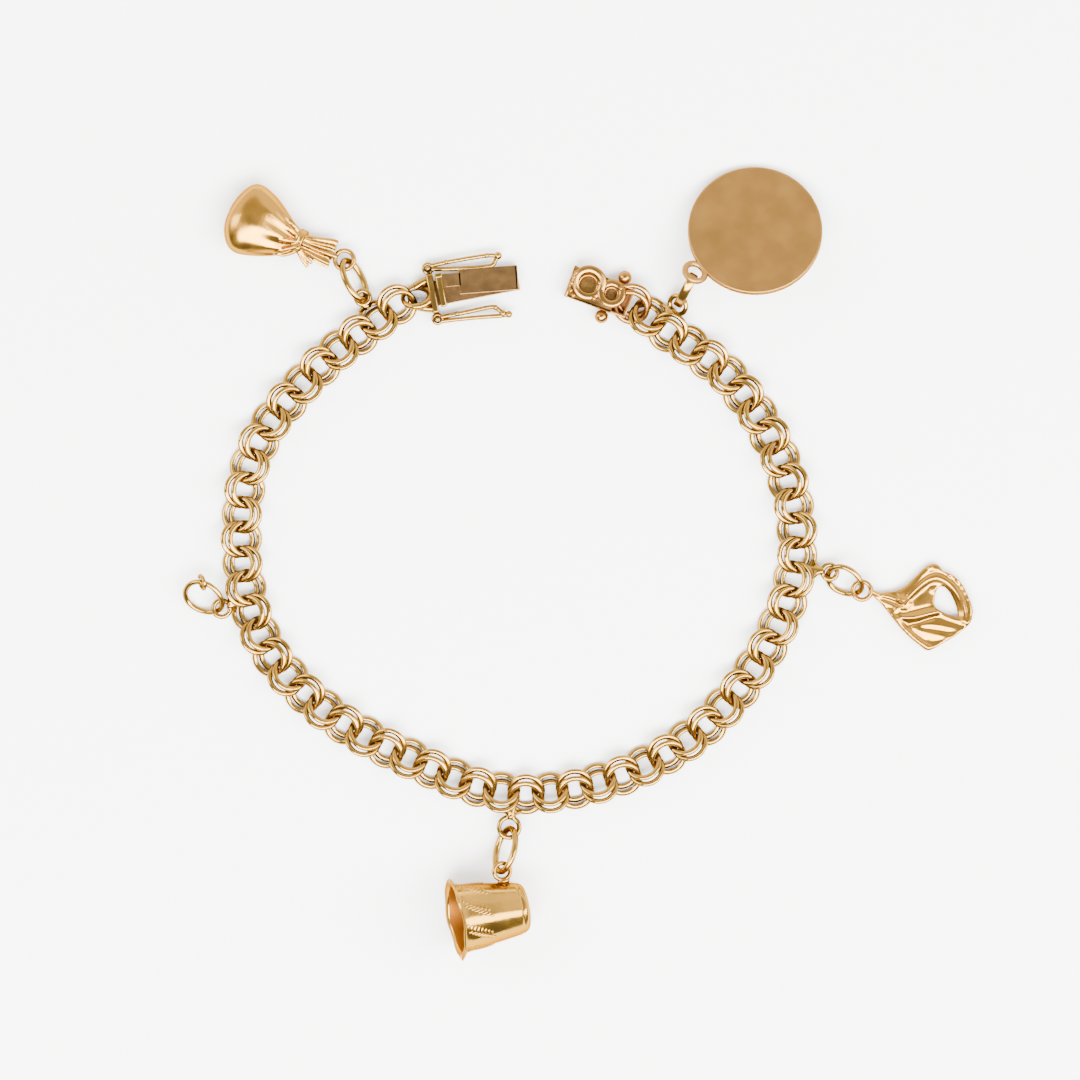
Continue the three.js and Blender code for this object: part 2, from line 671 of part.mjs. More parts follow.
// Origin under the middle of the whole bracelet
const bounds = new THREE.Box3().setFromObject(bracelet, true);
const centre = bounds.getCenter(vec());
bracelet.position.set(-centre.x, -centre.y, -bounds.min.z);

export default bracelet;
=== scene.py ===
import math

import bmesh
import bpy
from mathutils import Matrix, Quaternion, Vector


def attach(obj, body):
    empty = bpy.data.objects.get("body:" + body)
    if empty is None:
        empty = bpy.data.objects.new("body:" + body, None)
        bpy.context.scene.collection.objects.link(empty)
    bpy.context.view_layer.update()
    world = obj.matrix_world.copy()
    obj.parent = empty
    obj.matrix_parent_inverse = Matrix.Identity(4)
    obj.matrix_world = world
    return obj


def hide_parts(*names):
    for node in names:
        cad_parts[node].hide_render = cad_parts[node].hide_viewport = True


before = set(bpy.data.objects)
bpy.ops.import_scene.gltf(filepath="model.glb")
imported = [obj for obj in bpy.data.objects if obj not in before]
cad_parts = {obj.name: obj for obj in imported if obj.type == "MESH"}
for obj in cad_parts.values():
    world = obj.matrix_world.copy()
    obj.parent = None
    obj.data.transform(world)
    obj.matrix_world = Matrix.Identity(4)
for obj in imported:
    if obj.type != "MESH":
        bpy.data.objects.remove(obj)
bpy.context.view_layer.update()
print("frame loaded")

# The pieces are drawn in millimetres and made metres when they are finished
millimetre = 0.001
tableGap = 0.01  # the lowest that metal lies above the table
weldDistance = 0.002  # points nearer than this become one
braceletShift = Vector((-0.142, -0.4417, 0.0178))  # from the chain's own drawing to the frame


def srgb(code):
    channels = [int(code[i:i + 2], 16) / 255 for i in (1, 3, 5)]
    linear = [c / 12.92 if c <= 0.04045 else ((c + 0.055) / 1.055) ** 2.4 for c in channels]
    return (*linear, 1.0)


def spinAbout(axis, degrees):
    return Matrix.Rotation(math.radians(degrees), 4, axis)


def placed(at, heading=0, rise=0, lean=0):
    turn = spinAbout("Z", heading) @ spinAbout("Y", -rise) @ spinAbout("X", lean)
    return Matrix.Translation(at) @ turn


# Where a piece's own dictionary puts it
def placeOf(look):
    return placed(look["at"], look.get("heading", 0), look.get("rise", 0), look.get("lean", 0))


def meshFrom(bm, name):
    mesh = bpy.data.meshes.new(name)
    bm.to_mesh(mesh)
    bm.free()
    return mesh


def addObject(name, data):
    made = bpy.data.objects.new(name, data)
    bpy.context.collection.objects.link(made)
    return made


def finishPiece(bm, name, body, material, place, nodes, smoothAngle):
    bmesh.ops.remove_doubles(bm, verts=bm.verts, dist=weldDistance)
    bmesh.ops.recalc_face_normals(bm, faces=bm.faces)
    scale = Matrix.Diagonal((millimetre, millimetre, millimetre, 1))
    bmesh.ops.transform(bm, matrix=scale @ place, verts=bm.verts)
    for v in bm.verts:  # worn flat where it stands on the table
        v.co.z = max(v.co.z, tableGap * millimetre)
    mesh = meshFrom(bm, name)
    mesh.shade_smooth()
    mesh.set_sharp_from_angle(angle=math.radians(smoothAngle))
    piece = addObject(name, mesh)
    mesh.materials.append(material)
    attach(piece, body)
    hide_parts(*nodes)
    return piece


# Joins all that overlaps in a bmesh into one cast skin
def castSkin(bm, voxel, relax):
    mesh = meshFrom(bm, "cast")
    holder = addObject("cast", mesh)
    remesh = holder.modifiers.new("skin", "REMESH")
    remesh.mode = "VOXEL"
    remesh.voxel_size = voxel
    smooth = holder.modifiers.new("relax", "SMOOTH")
    smooth.factor = 0.5
    smooth.iterations = relax
    evaluated = holder.evaluated_get(bpy.context.evaluated_depsgraph_get())
    skin = bmesh.new()
    skin.from_mesh(evaluated.to_mesh())
    evaluated.to_mesh_clear()
    bpy.data.objects.remove(holder)
    bpy.data.meshes.remove(mesh)
    return skin


# A point on a smooth curve through the knots, t counted in knots
def curvePoint(knots, t):
    last = len(knots) - 1
    i = max(0, min(int(t), last - 1))
    u = t - i
    b, c = knots[i], knots[i + 1]
    a = knots[i - 1] if i > 0 else 2 * b - c
    d = knots[i + 2] if i + 2 <= last else 2 * c - b
    return b + 0.5 * u * ((c - a) + u * ((2 * a - 5 * b + 4 * c - d) + u * (3 * b - 3 * c + d - a)))


def smoothPath(knots, perSpan):
    knots = [Vector(k) for k in knots]
    count = (len(knots) - 1) * perSpan
    return [curvePoint(knots, i / perSpan) for i in range(count + 1)]


def ovalPath(halfLength, halfWidth, steps, egg=0, start=0, end=360):
    turns = [math.radians(start + (end - start) * i / steps) for i in range(steps + 1)]
    return [Vector((halfLength * math.cos(a), halfWidth * (1 + egg * math.cos(a)) * math.sin(a), 0))
            for a in turns]


def vertsOf(geom):
    return [g for g in geom if isinstance(g, bmesh.types.BMVert)]


def growLoop(bm, edges):
    grown = bmesh.ops.extrude_edge_only(bm, edges=edges)["geom"]
    verts = vertsOf(grown)
    return verts, [g for g in grown if isinstance(g, bmesh.types.BMEdge)
                   and g.verts[0] in verts and g.verts[1] in verts]


# Drags a round section along a path, with its own share of the width at each point
def sweep(bm, path, width, sides=12, closed=False, widths=None, up=Vector((0, 0, 1))):
    if closed:
        path = path[:-1]
    count = len(path)
    across = up.normalized()
    frames = []
    for i, point in enumerate(path):
        before = path[i - 1] if i > 0 or closed else path[0]
        after = path[(i + 1) % count] if i + 1 < count or closed else path[-1]
        along = (after - before).normalized()
        across = (across - along * across.dot(along)).normalized()
        side = across.cross(along).normalized()
        size = widths[i] if widths else 1.0
        turn = Matrix((side, across, along)).transposed().to_4x4()
        frames.append(Matrix.Translation(point) @ turn @ Matrix.Diagonal((size, size, size, 1)))
    made = bmesh.ops.create_circle(bm, segments=sides, radius=width / 2, matrix=frames[0])["verts"]
    first = [e for e in bm.edges if e.verts[0] in made and e.verts[1] in made]
    loop = first
    for last, new in zip(frames, frames[1:]):
        verts, loop = growLoop(bm, loop)
        bmesh.ops.transform(bm, matrix=new @ last.inverted(), verts=verts)
        made += verts
    if closed:
        bmesh.ops.bridge_loops(bm, edges=first + loop)
    else:
        for end in (first, loop):
            bmesh.ops.edgeloop_fill(bm, edges=end)
    return made


# A narrow margin round the large flat faces, so that a rounded edge doesn't bend their shine
def keepFlat(bm, least, margin):
    flats = [f for f in bm.faces if f.calc_area() > least]
    bmesh.ops.inset_individual(bm, faces=flats, thickness=margin, use_even_offset=True)


def moveVerts(bm, verts, place):
    bmesh.ops.transform(bm, matrix=place, verts=verts)


def addBead(bm, centre, size, stretch=(1, 1, 1), rounds=2, place=None):
    matrix = Matrix.Translation(centre) @ (place or Matrix()) @ Matrix.Diagonal((*stretch, 1))
    bmesh.ops.create_icosphere(bm, subdivisions=rounds, radius=size, matrix=matrix)


def addBlock(bm, low, high, bevel, place=None):
    low, high = Vector(low), Vector(high)
    size = Matrix.Diagonal((*(high - low), 1))
    matrix = (place or Matrix()) @ Matrix.Translation((low + high) / 2) @ size
    verts = bmesh.ops.create_cube(bm, size=1, matrix=matrix)["verts"]
    edges = {e for v in verts for e in v.link_edges}
    bmesh.ops.bevel(bm, geom=list(edges), offset=bevel, affect="EDGES", segments=3, profile=0.5,
                    material=-1, clamp_overlap=True)


def addNode(tree, kind, settings=None, links=None):
    node = tree.nodes.new(kind)
    for key, value in (settings or {}).items():
        if isinstance(key, int) or key in node.inputs:
            node.inputs[key].default_value = value
        else:
            setattr(node, key, value)
    for key, socket in (links or {}).items():
        tree.links.new(socket, node.inputs[key])
    return node


# What all the golds share
goldPattern = {"detail": 3.0, "occlusionRays": 8, "cloudFrom": 0.3, "cloudTo": 0.7}


def goldMaterial(name, look):
    material = bpy.data.materials.new(name)
    material.use_nodes = True
    tree = material.node_tree
    shader = tree.nodes["Principled BSDF"]
    shader.inputs["Metallic"].default_value = 1.0
    # gold stays gold at a grazing angle
    shader.inputs["Specular Tint"].default_value = srgb(look["edge"])
    spot = addNode(tree, "ShaderNodeTexCoord").outputs["Object"]
    # patches of handling wear and skin oil, about 2 mm across
    cloud = addNode(tree, "ShaderNodeTexNoise",
                    {"Scale": 1 / (look["patchSize"] * millimetre),
                     "Detail": goldPattern["detail"]},
                    {"Vector": spot})
    # tarnish that polishing doesn't reach, together with painted shade: the colour turns to the
    # darker tone wherever other parts or the table hem the surface in
    shelter = addNode(tree, "ShaderNodeAmbientOcclusion",
                      {"samples": goldPattern["occlusionRays"],
                       "Distance": look["patinaAndShadeReach"] * millimetre})
    depth = addNode(tree, "ShaderNodeMapRange",
                    {"From Min": look["patinaAndShadeFrom"], "From Max": look["patinaAndShadeTo"]},
                    {"Value": shelter.outputs["AO"]})
    tone = addNode(tree, "ShaderNodeMix",
                   {"data_type": "RGBA", 6: srgb(look["cool"]), 7: srgb(look["warm"])},
                   {0: cloud.outputs["Fac"]})
    colour = addNode(tree, "ShaderNodeMix", {"data_type": "RGBA", 6: srgb(look["patinaAndShade"])},
                     {0: depth.outputs["Result"], 7: tone.outputs[2]})
    tree.links.new(colour.outputs[2], shader.inputs["Base Color"])
    rough = addNode(tree, "ShaderNodeMapRange",
                    {"From Min": goldPattern["cloudFrom"], "From Max": goldPattern["cloudTo"],
                     "To Min": look["rough"][0], "To Max": look["rough"][1]},
                    {"Value": cloud.outputs["Fac"]})
    # recesses were never polished
    polish = addNode(tree, "ShaderNodeMix", {"data_type": "FLOAT", 2: look["recessRough"]},
                     {0: depth.outputs["Result"], 3: rough.outputs["Result"]})
    tree.links.new(polish.outputs[0], shader.inputs["Roughness"])
    # fine dents of a worn polish, drawn out to scratches on sheet
    drawn = addNode(tree, "ShaderNodeMapping", {"Scale": look["grain"]}, {"Vector": spot})
    dents = addNode(tree, "ShaderNodeTexNoise",
                    {"Scale": 1 / (look["dentSize"] * millimetre), "Detail": goldPattern["detail"]},
                    {"Vector": drawn.outputs["Vector"]})
    bump = addNode(tree, "ShaderNodeBump",
                   {"Strength": look["dentStrength"], "Distance": look["dentDepth"] * millimetre},
                   {"Height": dents.outputs["Fac"]})
    tree.links.new(bump.outputs["Normal"], shader.inputs["Normal"])
    return material


# 14 ct yellow gold wire, drawn and polished: sharp highlights, tarnish and painted shade brown where
# wires meet and near the table
wireGold = goldMaterial("polishedWireGold14ct", {
    "warm": "#9f7a31", "cool": "#866732", "patinaAndShade": "#5c4830", "edge": "#b8924c",
    "patchSize": 2.0, "rough": (0.08, 0.18), "recessRough": 0.35,
    "patinaAndShadeReach": 2.4, "patinaAndShadeFrom": 0.22, "patinaAndShadeTo": 0.72,
    "dentSize": 0.5, "dentStrength": 0.15, "dentDepth": 0.02, "grain": (1, 1, 1)})
# 14 ct gold sheet, rolled, its polish worn to a satin of fine scratches: an even, soft shine
satinGold = goldMaterial("satinSheetGold14ct", {
    "warm": "#966f38", "cool": "#8a6634", "patinaAndShade": "#4e3416", "edge": "#c0945c",
    "patchSize": 2.6, "rough": (0.32, 0.42), "recessRough": 0.5,
    "patinaAndShadeReach": 0.8, "patinaAndShadeFrom": 0.2, "patinaAndShadeTo": 0.7,
    "dentSize": 0.35, "dentStrength": 0.22, "dentDepth": 0.02, "grain": (1, 0.12, 1)})
# the clasp's spring leaf, the same sheet, hardened and rubbed: a browner skin of fine pits
leafGold = goldMaterial("springSheetGold14ct", {
    "warm": "#836238", "cool": "#765832", "patinaAndShade": "#4c351e", "edge": "#b08a5c",
    "patchSize": 1.2, "rough": (0.19, 0.26), "recessRough": 0.5,
    "patinaAndShadeReach": 1.2, "patinaAndShadeFrom": 0.25, "patinaAndShadeTo": 0.75,
    "dentSize": 0.3, "dentStrength": 0.3, "dentDepth": 0.02, "grain": (1, 0.35, 1)})
# 14 ct gold castings and stampings, polished by hand: soft uneven highlights, shallow dents
castGold = goldMaterial("castCharmGold14ct", {
    "warm": "#a4772b", "cool": "#946d2f", "patinaAndShade": "#6e502a", "edge": "#b8924c",
    "patchSize": 1.8, "rough": (0.14, 0.28), "recessRough": 0.4,
    "patinaAndShadeReach": 2.6, "patinaAndShadeFrom": 0.2, "patinaAndShadeTo": 0.66,
    "dentSize": 0.9, "dentStrength": 0.3, "dentDepth": 0.05, "grain": (1, 1, 1)})
# thin spun gold, dented by wear, bright outside
hollowGold = goldMaterial("spunThimbleGold14ct", {
    "warm": "#a97f30", "cool": "#926e32", "patinaAndShade": "#77562a", "edge": "#be9a50",
    "patchSize": 2.2, "rough": (0.1, 0.22), "recessRough": 0.35,
    "patinaAndShadeReach": 2.4, "patinaAndShadeFrom": 0.2, "patinaAndShadeTo": 0.6,
    "dentSize": 0.8, "dentStrength": 0.34, "dentDepth": 0.05, "grain": (1, 1, 1)})
# its unpolished inside: matt, its deep orange a painted reflection of gold in gold
insideGold = goldMaterial("unpolishedInsideGoldPaintedReflection14ct", {
    "warm": "#7c4812", "cool": "#6d3f10", "patinaAndShade": "#5c330e", "edge": "#b9783c",
    "patchSize": 1.8, "rough": (0.5, 0.65), "recessRough": 0.6,
    "patinaAndShadeReach": 3.0, "patinaAndShadeFrom": 0.1, "patinaAndShadeTo": 0.5,
    "dentSize": 0.5, "dentStrength": 0.3, "dentDepth": 0.04, "grain": (1, 1, 1)})
# the box's sheet and wire, soldered up and pickled: tarnish and painted shade brown in its corners,
# bright on its rings
boxGold = goldMaterial("solderedBoxGold14ct", {
    "warm": "#9a7133", "cool": "#836132", "patinaAndShade": "#8a5530", "edge": "#b8924c",
    "patchSize": 1.4, "rough": (0.14, 0.3), "recessRough": 0.45,
    "patinaAndShadeReach": 1.6, "patinaAndShadeFrom": 0.3, "patinaAndShadeTo": 0.75,
    "dentSize": 0.6, "dentStrength": 0.34, "dentDepth": 0.04, "grain": (1, 1, 1)})
print("gold ready")


chain = {
    "links": 29, "ringRadius": 1.88, "ringStack": 0.48, "ringShift": 0.68, "ringLean": 28,
    "pairSpacing": 2.88, "wire": 0.52, "wireSpread": 1.26, "height": 1.174,
    # solder, its size and stretch: where the two pairs cross, and on each ring's side
    "crossBead": (0.34, (1.0, 0.8, 1.2)), "sideBead": (0.24, (1.3, 1, 1)), "stepsPerKnot": 60,
    "knots": [(-21.98, 29.13), (-30.74, 21.90), (-37.27, 13.08), (-38.91, 2.15), (-36.6, -8.5),
              (-29.8, -16.6), (-19.46, -22.65), (-7.95, -26.62), (4.03, -25.02), (14.37, -19.31),
              (21.90, -10.06), (25.44, 0.45), (23.92, 11.17), (18.17, 20.96), (9.44, 27.75)],
}
chainKnots = [Vector((x, y, 0)) for x, y in chain["knots"]]


# Links stand at equal distances along the curve
def linkPlaces():
    perKnot, nudge = chain["stepsPerKnot"], 1e-4
    steps = (len(chainKnots) - 1) * perKnot
    points = [curvePoint(chainKnots, i / perKnot) for i in range(steps + 1)]
    lengths = [0.0]
    for a, b in zip(points, points[1:]):
        lengths.append(lengths[-1] + (b - a).length)
    places = []
    for number in range(chain["links"]):
        goal = lengths[-1] * number / (chain["links"] - 1)
        i = min(next(k for k, done in enumerate(lengths) if done >= goal - 1e-9), steps)
        i = max(i, 1)
        share = (goal - lengths[i - 1]) / (lengths[i] - lengths[i - 1])
        t = (i - 1 + share) / perKnot
        ahead = curvePoint(chainKnots, t + nudge) - curvePoint(chainKnots, t - nudge)
        heading = math.degrees(math.atan2(ahead.y, ahead.x))
        middle = curvePoint(chainKnots, t) + Vector((0, 0, chain["height"])) + braceletShift
        places.append(placed(middle, heading))
    return places


# A ring of wire, its section pressed wider than high by the spread
def addRing(bm, radius, wire, sides=12, steps=40, spread=1.0):
    start = bmesh.ops.create_circle(
        bm, segments=sides, radius=wire / 2,
        matrix=(Matrix.Translation((radius, 0, 0)) @ Matrix.Diagonal((spread, 1, 1, 1))
                @ spinAbout("X", 90)))["verts"]
    edges = list({e for v in start for e in v.link_edges})
    before = set(bm.verts) - set(start)
    bmesh.ops.spin(bm, geom=start + edges, cent=(0, 0, 0), axis=(0, 0, 1), angle=math.tau,
                   steps=steps, use_merge=True, use_duplicate=False)
    return [v for v in bm.verts if v not in before]


def addRingPair(bm, x, raisedSide, z=0.0):
    for level in (1, -1):
        ring = addRing(bm, chain["ringRadius"], chain["wire"], spread=chain["wireSpread"])
        place = (Matrix.Translation((x, 0, z)) @ spinAbout("X", raisedSide * chain["ringLean"])
                 @ Matrix.Translation((0, -level * raisedSide * chain["ringShift"] / 2,
                                       level * chain["ringStack"] / 2)))
        moveVerts(bm, ring, place)


# A point on a ring's wire at a given x, on a given side of the chain
def wirePoint(x, pairX, raisedSide, level, side):
    reach = math.sqrt(max(0, chain["ringRadius"] ** 2 - (x - pairX) ** 2))
    flat = Vector((x, side * reach - level * raisedSide * chain["ringShift"] / 2,
                   level * chain["ringStack"] / 2))
    return spinAbout("X", raisedSide * chain["ringLean"]) @ flat


def addLink(bm):
    half = chain["pairSpacing"] / 2
    addRingPair(bm, -half, -1)
    addRingPair(bm, half, 1)
    for side in (1, -1):  # solder where the wires cross, worn to a bright dot
        one = wirePoint(0, -half, -1, side, side)
        two = wirePoint(0, half, 1, -side, side)
        addBead(bm, (one + two) / 2, *chain["crossBead"])
        for level in (1, -1):
            addBead(bm, wirePoint(0, -half, -1, level, side), *chain["sideBead"])


eyes = {
    "wire": 0.6, "height": 1.4, "skin": 0.07, "relax": 6,
    # solder: its width, how much wider the stem and the two feet are, and how far the feet reach
    "solder": 0.6, "stemWiden": 1.6, "footWiden": 0.9, "footGrowth": 0.07, "footPull": 0.2,
    "spread": 1.0, "rootBead": (0.34, (1.3, 1, 0.9)), "neckBead": (0.6, (1.1, 1, 0.6)),
    "byLink": {
        1: {"along": 1.12, "neck": 0.87, "radius": 0.8},
        8: {"along": 0.2, "neck": 0.83, "radius": 0.96},
        15: {"along": -0.25, "neck": 1.3, "radius": 1.18},
        23: {"along": 0.0, "neck": 1.7, "radius": 0.85},
        29: {"along": -0.41, "neck": 0.58, "radius": 1.1, "rise": 38, "towards": 246},
    },
}


def addChainEye(bm, eye):
    half = chain["pairSpacing"] / 2
    reach = -wirePoint(0, -half, -1, -1, -1).y
    centre = Vector((eye["along"], -(reach + eye["neck"] + eye["radius"]),
                     eyes["height"] - chain["height"]))
    solder = bmesh.new()
    ring = addRing(solder, eye["radius"], eyes["wire"], steps=32)
    tilt = Matrix()
    if "rise" in eye:
        hinge = Vector((1, 0, 0))
        hinge.rotate(Quaternion((0, 0, 1), math.radians(eye["towards"] - 90)))
        tilt = Matrix.Rotation(math.radians(eye["rise"]), 4, hinge)
    moveVerts(solder, ring, Matrix.Translation(centre) @ tilt)
    onSecond = eye["along"] > half / 2
    outer = wirePoint(0, half, 1, 1, -1)
    root = wirePoint(half, half, 1, 1, -1) if onSecond else Vector((0, outer.y, 0))
    toRoot = root - centre
    toRoot.z = 0
    near = centre + tilt @ (toRoot.normalized() * eye["radius"])
    stem = smoothPath([root, root.lerp(near, 0.5), near], 5)
    sweep(solder, stem, eyes["solder"], widths=[eyes["stemWiden"]] * len(stem))
    for spread in (-eyes["spread"], eyes["spread"]):  # the solder runs out both ways along the ring
        foot = root + Vector((spread, 0, 0))
        if not onSecond:
            pair = math.copysign(1, spread)
            foot = wirePoint(spread, pair * half, pair, pair, -1)
        path = smoothPath([foot, foot.lerp(near, 0.5) + (root - foot) * eyes["footPull"], near], 5)
        widths = [eyes["footWiden"] + eyes["footGrowth"] * i for i in range(len(path))]
        sweep(solder, path, eyes["solder"], widths=widths)
    addBead(solder, root, *eyes["rootBead"])
    addBead(solder, root.lerp(near, 0.5), *eyes["neckBead"], rounds=3)
    mesh = meshFrom(castSkin(solder, eyes["skin"], eyes["relax"]), "solder")
    bm.from_mesh(mesh)
    bpy.data.meshes.remove(mesh)


for number, place in enumerate(linkPlaces(), start=1):
    bm = bmesh.new()
    addLink(bm)
    if number in eyes["byLink"]:
        addChainEye(bm, eyes["byLink"][number])
    finishPiece(bm, f"doubleRingLink{number:02d}", "bracelet", wireGold, place,
                [f"chain_link_{number:02d}"], smoothAngle=60)
print("chain made")


jumpLinks = {
    "bag_jump_link": {"at": (-25.974, 32.441, 1.418), "heading": 116, "rise": 0, "lean": 48,
                      "size": (2.45, 1.4), "egg": 0, "wire": 0.76},
    "thimble_jump_link": {"at": (-8.434, -33.648, 2.413), "heading": -99, "rise": 20.43, "lean": 60,
                          "size": (2.6, 2.0), "egg": 0, "wire": 0.75},
    "drape_jump_link": {"at": (30.943, -2.457, 1.418), "heading": -30, "rise": 0, "lean": 40,
                        "size": (2.1, 1.8), "egg": -0.12, "wire": 0.65},
    "empty_jump_link": {"at": (-43.398, -4.403, 1.593), "heading": 149, "rise": 4.13, "lean": -38,
                        "size": (2.3, 2.0), "egg": 0.12, "wire": 0.61},
}
# the soldered joint, a little thicker than the wire: its place and size as shares of the link's
jumpSeam = {"along": 0.55, "across": 0.835, "bead": 0.52, "stretch": (1.25, 1, 1)}

for node, jump in jumpLinks.items():
    bm = bmesh.new()
    halfLength, halfWidth = jump["size"]
    path = ovalPath(halfLength, halfWidth, 56, egg=jump["egg"])
    sweep(bm, path, jump["wire"], sides=14, closed=True)
    seam = Vector((jumpSeam["along"] * halfLength,
                   -halfWidth * jumpSeam["across"] * (1 + jumpSeam["along"] * jump["egg"]), 0))
    addBead(bm, seam, jump["wire"] * jumpSeam["bead"], jumpSeam["stretch"])
    finishPiece(bm, node.replace("_", "") + "Wire", "bracelet", wireGold,
                placeOf(jump), [node], smoothAngle=60)

stripLink = {"at": (12.443, 31.222, 2.926), "heading": 62, "rise": 38.1, "lean": 90,
             "size": (2.3, 1.15), "thickness": 0.4, "width": 1.1, "squareness": 0.45}
bm = bmesh.new()
halfLength, halfWidth = stripLink["size"]
width, thinner = stripLink["width"], stripLink["thickness"] / stripLink["width"]
sweep(bm, ovalPath(halfLength, halfWidth, 56), width, sides=20, closed=True)
for v in bm.verts:  # a flat band with rounded edges: thin across, wide along its axis
    centre = Vector((v.co.x, v.co.y, 0))
    angle = math.atan2(centre.y / halfWidth, centre.x / halfLength)
    spine = Vector((halfLength * math.cos(angle), halfWidth * math.sin(angle), 0))
    share = abs(2 * v.co.z / width) ** stripLink["squareness"]
    level = Vector((0, 0, math.copysign(width / 2 * share, v.co.z)))
    v.co = spine + (centre - spine) * thinner + level
finishPiece(bm, "discStripLink", "bracelet", wireGold, placeOf(stripLink),
            ["disc_strip_link"], smoothAngle=50)

brokenEye = {"at": (-43.567, -2.614, 2.803), "heading": 130.99, "rise": -47.27, "lean": -58.08,
             "radius": 0.78, "wire": 0.44, "arc": (8, 352), "tornEnds": (0.7, 0.55)}
bm = bmesh.new()
path = ovalPath(brokenEye["radius"], brokenEye["radius"], 36, 0, *brokenEye["arc"])
oneEnd, otherEnd = brokenEye["tornEnds"]
sweep(bm, path, brokenEye["wire"], widths=[oneEnd] + [1.0] * (len(path) - 2) + [otherEnd])
finishPiece(bm, "brokenEyeWire", "bracelet", wireGold, placeOf(brokenEye),
            ["broken_eye"], smoothAngle=60)
print("jump links made")


moneyBag = {  # stamped in two halves, its mouth tied with a cord
    "at": (-27.112, 34.773, 1.418), "heading": 157.5, "lift": 0.0757,
    # along from the eye, reach to the two sides, half thickness, depth of the pleats
    "stations": [
        (1.4, -1.85, 1.75, 0.66, 0.42), (2.1, -1.82, 1.72, 0.76, 0.42),
        (3.0, -1.55, 1.6, 0.84, 0.4), (4.0, -1.25, 1.36, 0.88, 0.34),
        (4.9, -1.08, 1.2, 0.86, 0.2), (5.6, -1.15, 1.25, 0.92, 0.24), (6.2, -1.4, 1.7, 1.2, 0.26),
        (7.2, -1.95, 2.45, 1.62, 0.2), (8.4, -2.8, 3.1, 2.0, 0.12),
        (9.8, -3.65, 3.65, 2.28, 0.05), (11.0, -4.12, 4.0, 2.4, 0.02),
        (12.0, -4.34, 4.12, 2.38, 0.0), (12.9, -4.12, 3.86, 2.2, 0.0),
        (13.6, -3.3, 3.2, 1.85, 0.0), (14.15, -2.1, 2.3, 1.35, 0.0),
        (14.45, -0.95, 1.25, 0.75, 0.0)],
    "sides": 110, "pleats": 11, "mouthDepth": 1.1, "skin": 0.085, "relax": 3,
    "eyeRadius": 1.1, "eyeWire": 0.55, "neck": [(0.95, 0, 0), (1.5, 0, 0.05), (2.6, 0, 0.1)],
    "neckWidth": 0.7,
    # the cord's two turns: where they lie, their half width and half height, and their slant
    "cord": 0.46, "cordStations": (5.25, 5.72), "cordReach": (1.28, 1.0), "cordMiddle": 5.2,
    "cordSlant": 0.2, "knot": ((5.5, 0.78, 1.42), 0.45),
    # the bow's loop and tails: the cord's width, and the line that each follows
    "bow": [
        (0.5, [(5.5, 0.5, 1.42), (6.3, 1.15, 1.62), (7.3, 1.85, 1.5), (7.7, 2.3, 1.2),
               (6.9, 2.25, 1.15), (6.1, 1.75, 1.2), (5.5, 1.1, 1.3)]),
        (0.5, [(5.5, 0.8, 1.35), (4.9, 1.5, 1.2), (4.2, 2.05, 1.05), (3.6, 2.4, 0.85)]),
        (0.46, [(5.5, 0.6, 1.4), (4.8, 1.1, 1.25), (4.0, 1.55, 1.12), (3.3, 1.85, 0.95)])],
    # gathers that run from the cord out over the body: width and line
    "gathers": [
        (0.75, [(6.0, -0.35, 1.25), (7.2, -0.85, 1.72), (8.8, -1.5, 2.02)]),
        (0.85, [(6.0, 0.3, 1.35), (7.4, 0.55, 1.86), (9.2, 0.7, 2.3)]),
        (0.6, [(6.0, -0.85, 1.05), (7.0, -1.5, 1.3), (8.0, -2.1, 1.42)]),
        (0.6, [(6.0, 0.95, 1.1), (7.1, 1.75, 1.4), (8.2, 2.3, 1.6)]),
        (0.7, [(6.0, 0.0, -0.55), (7.4, -0.2, -0.92), (9.0, -0.4, -1.25)])],
}


# Drags an oval outline along X; each station may be pleated, and the first end is hollow
def addLoft(bm, stations, sides, pleats, lift, hollow):
    turnLayer = bm.verts.layers.float.new("turn")
    fine = smoothPath(stations, 3)
    upright = spinAbout("Y", 90)
    verts = bmesh.ops.create_circle(bm, segments=sides, radius=1, matrix=upright)["verts"]
    for v in verts:
        v[turnLayer] = math.atan2(v.co.z, v.co.y)
    mouth = loop = list({e for v in verts for e in v.link_edges})

    def lay(verts, station, shrink=1.0, inward=0.0):
        along, low, high, thick, fold = station
        for v in verts:
            turn = v[turnLayer]
            wave = math.cos(pleats * turn + 0.9 * math.sin(2 * turn + 1))  # unevenly spaced pleats
            ripple = 1 - fold * (0.5 + 0.5 * wave)
            reach = (high - low) / 2 * math.cos(turn) * (1 - (1 - ripple) * 0.3) * shrink
            level = thick * math.sin(turn) * ripple * shrink + lift * along
            v.co = Vector((along + inward, (low + high) / 2 + reach, level))

    lay(verts, fine[0])
    for station in fine[1:]:
        verts, loop = growLoop(bm, loop)
        lay(verts, station)
    bmesh.ops.edgeloop_fill(bm, edges=loop)
    for shrink, inward in ((0.72, 0.05), (0.62, hollow)):  # the mouth's lip, then its hollow
        verts, mouth = growLoop(bm, mouth)
        lay(verts, fine[0], shrink, inward)
    bmesh.ops.edgeloop_fill(bm, edges=mouth)


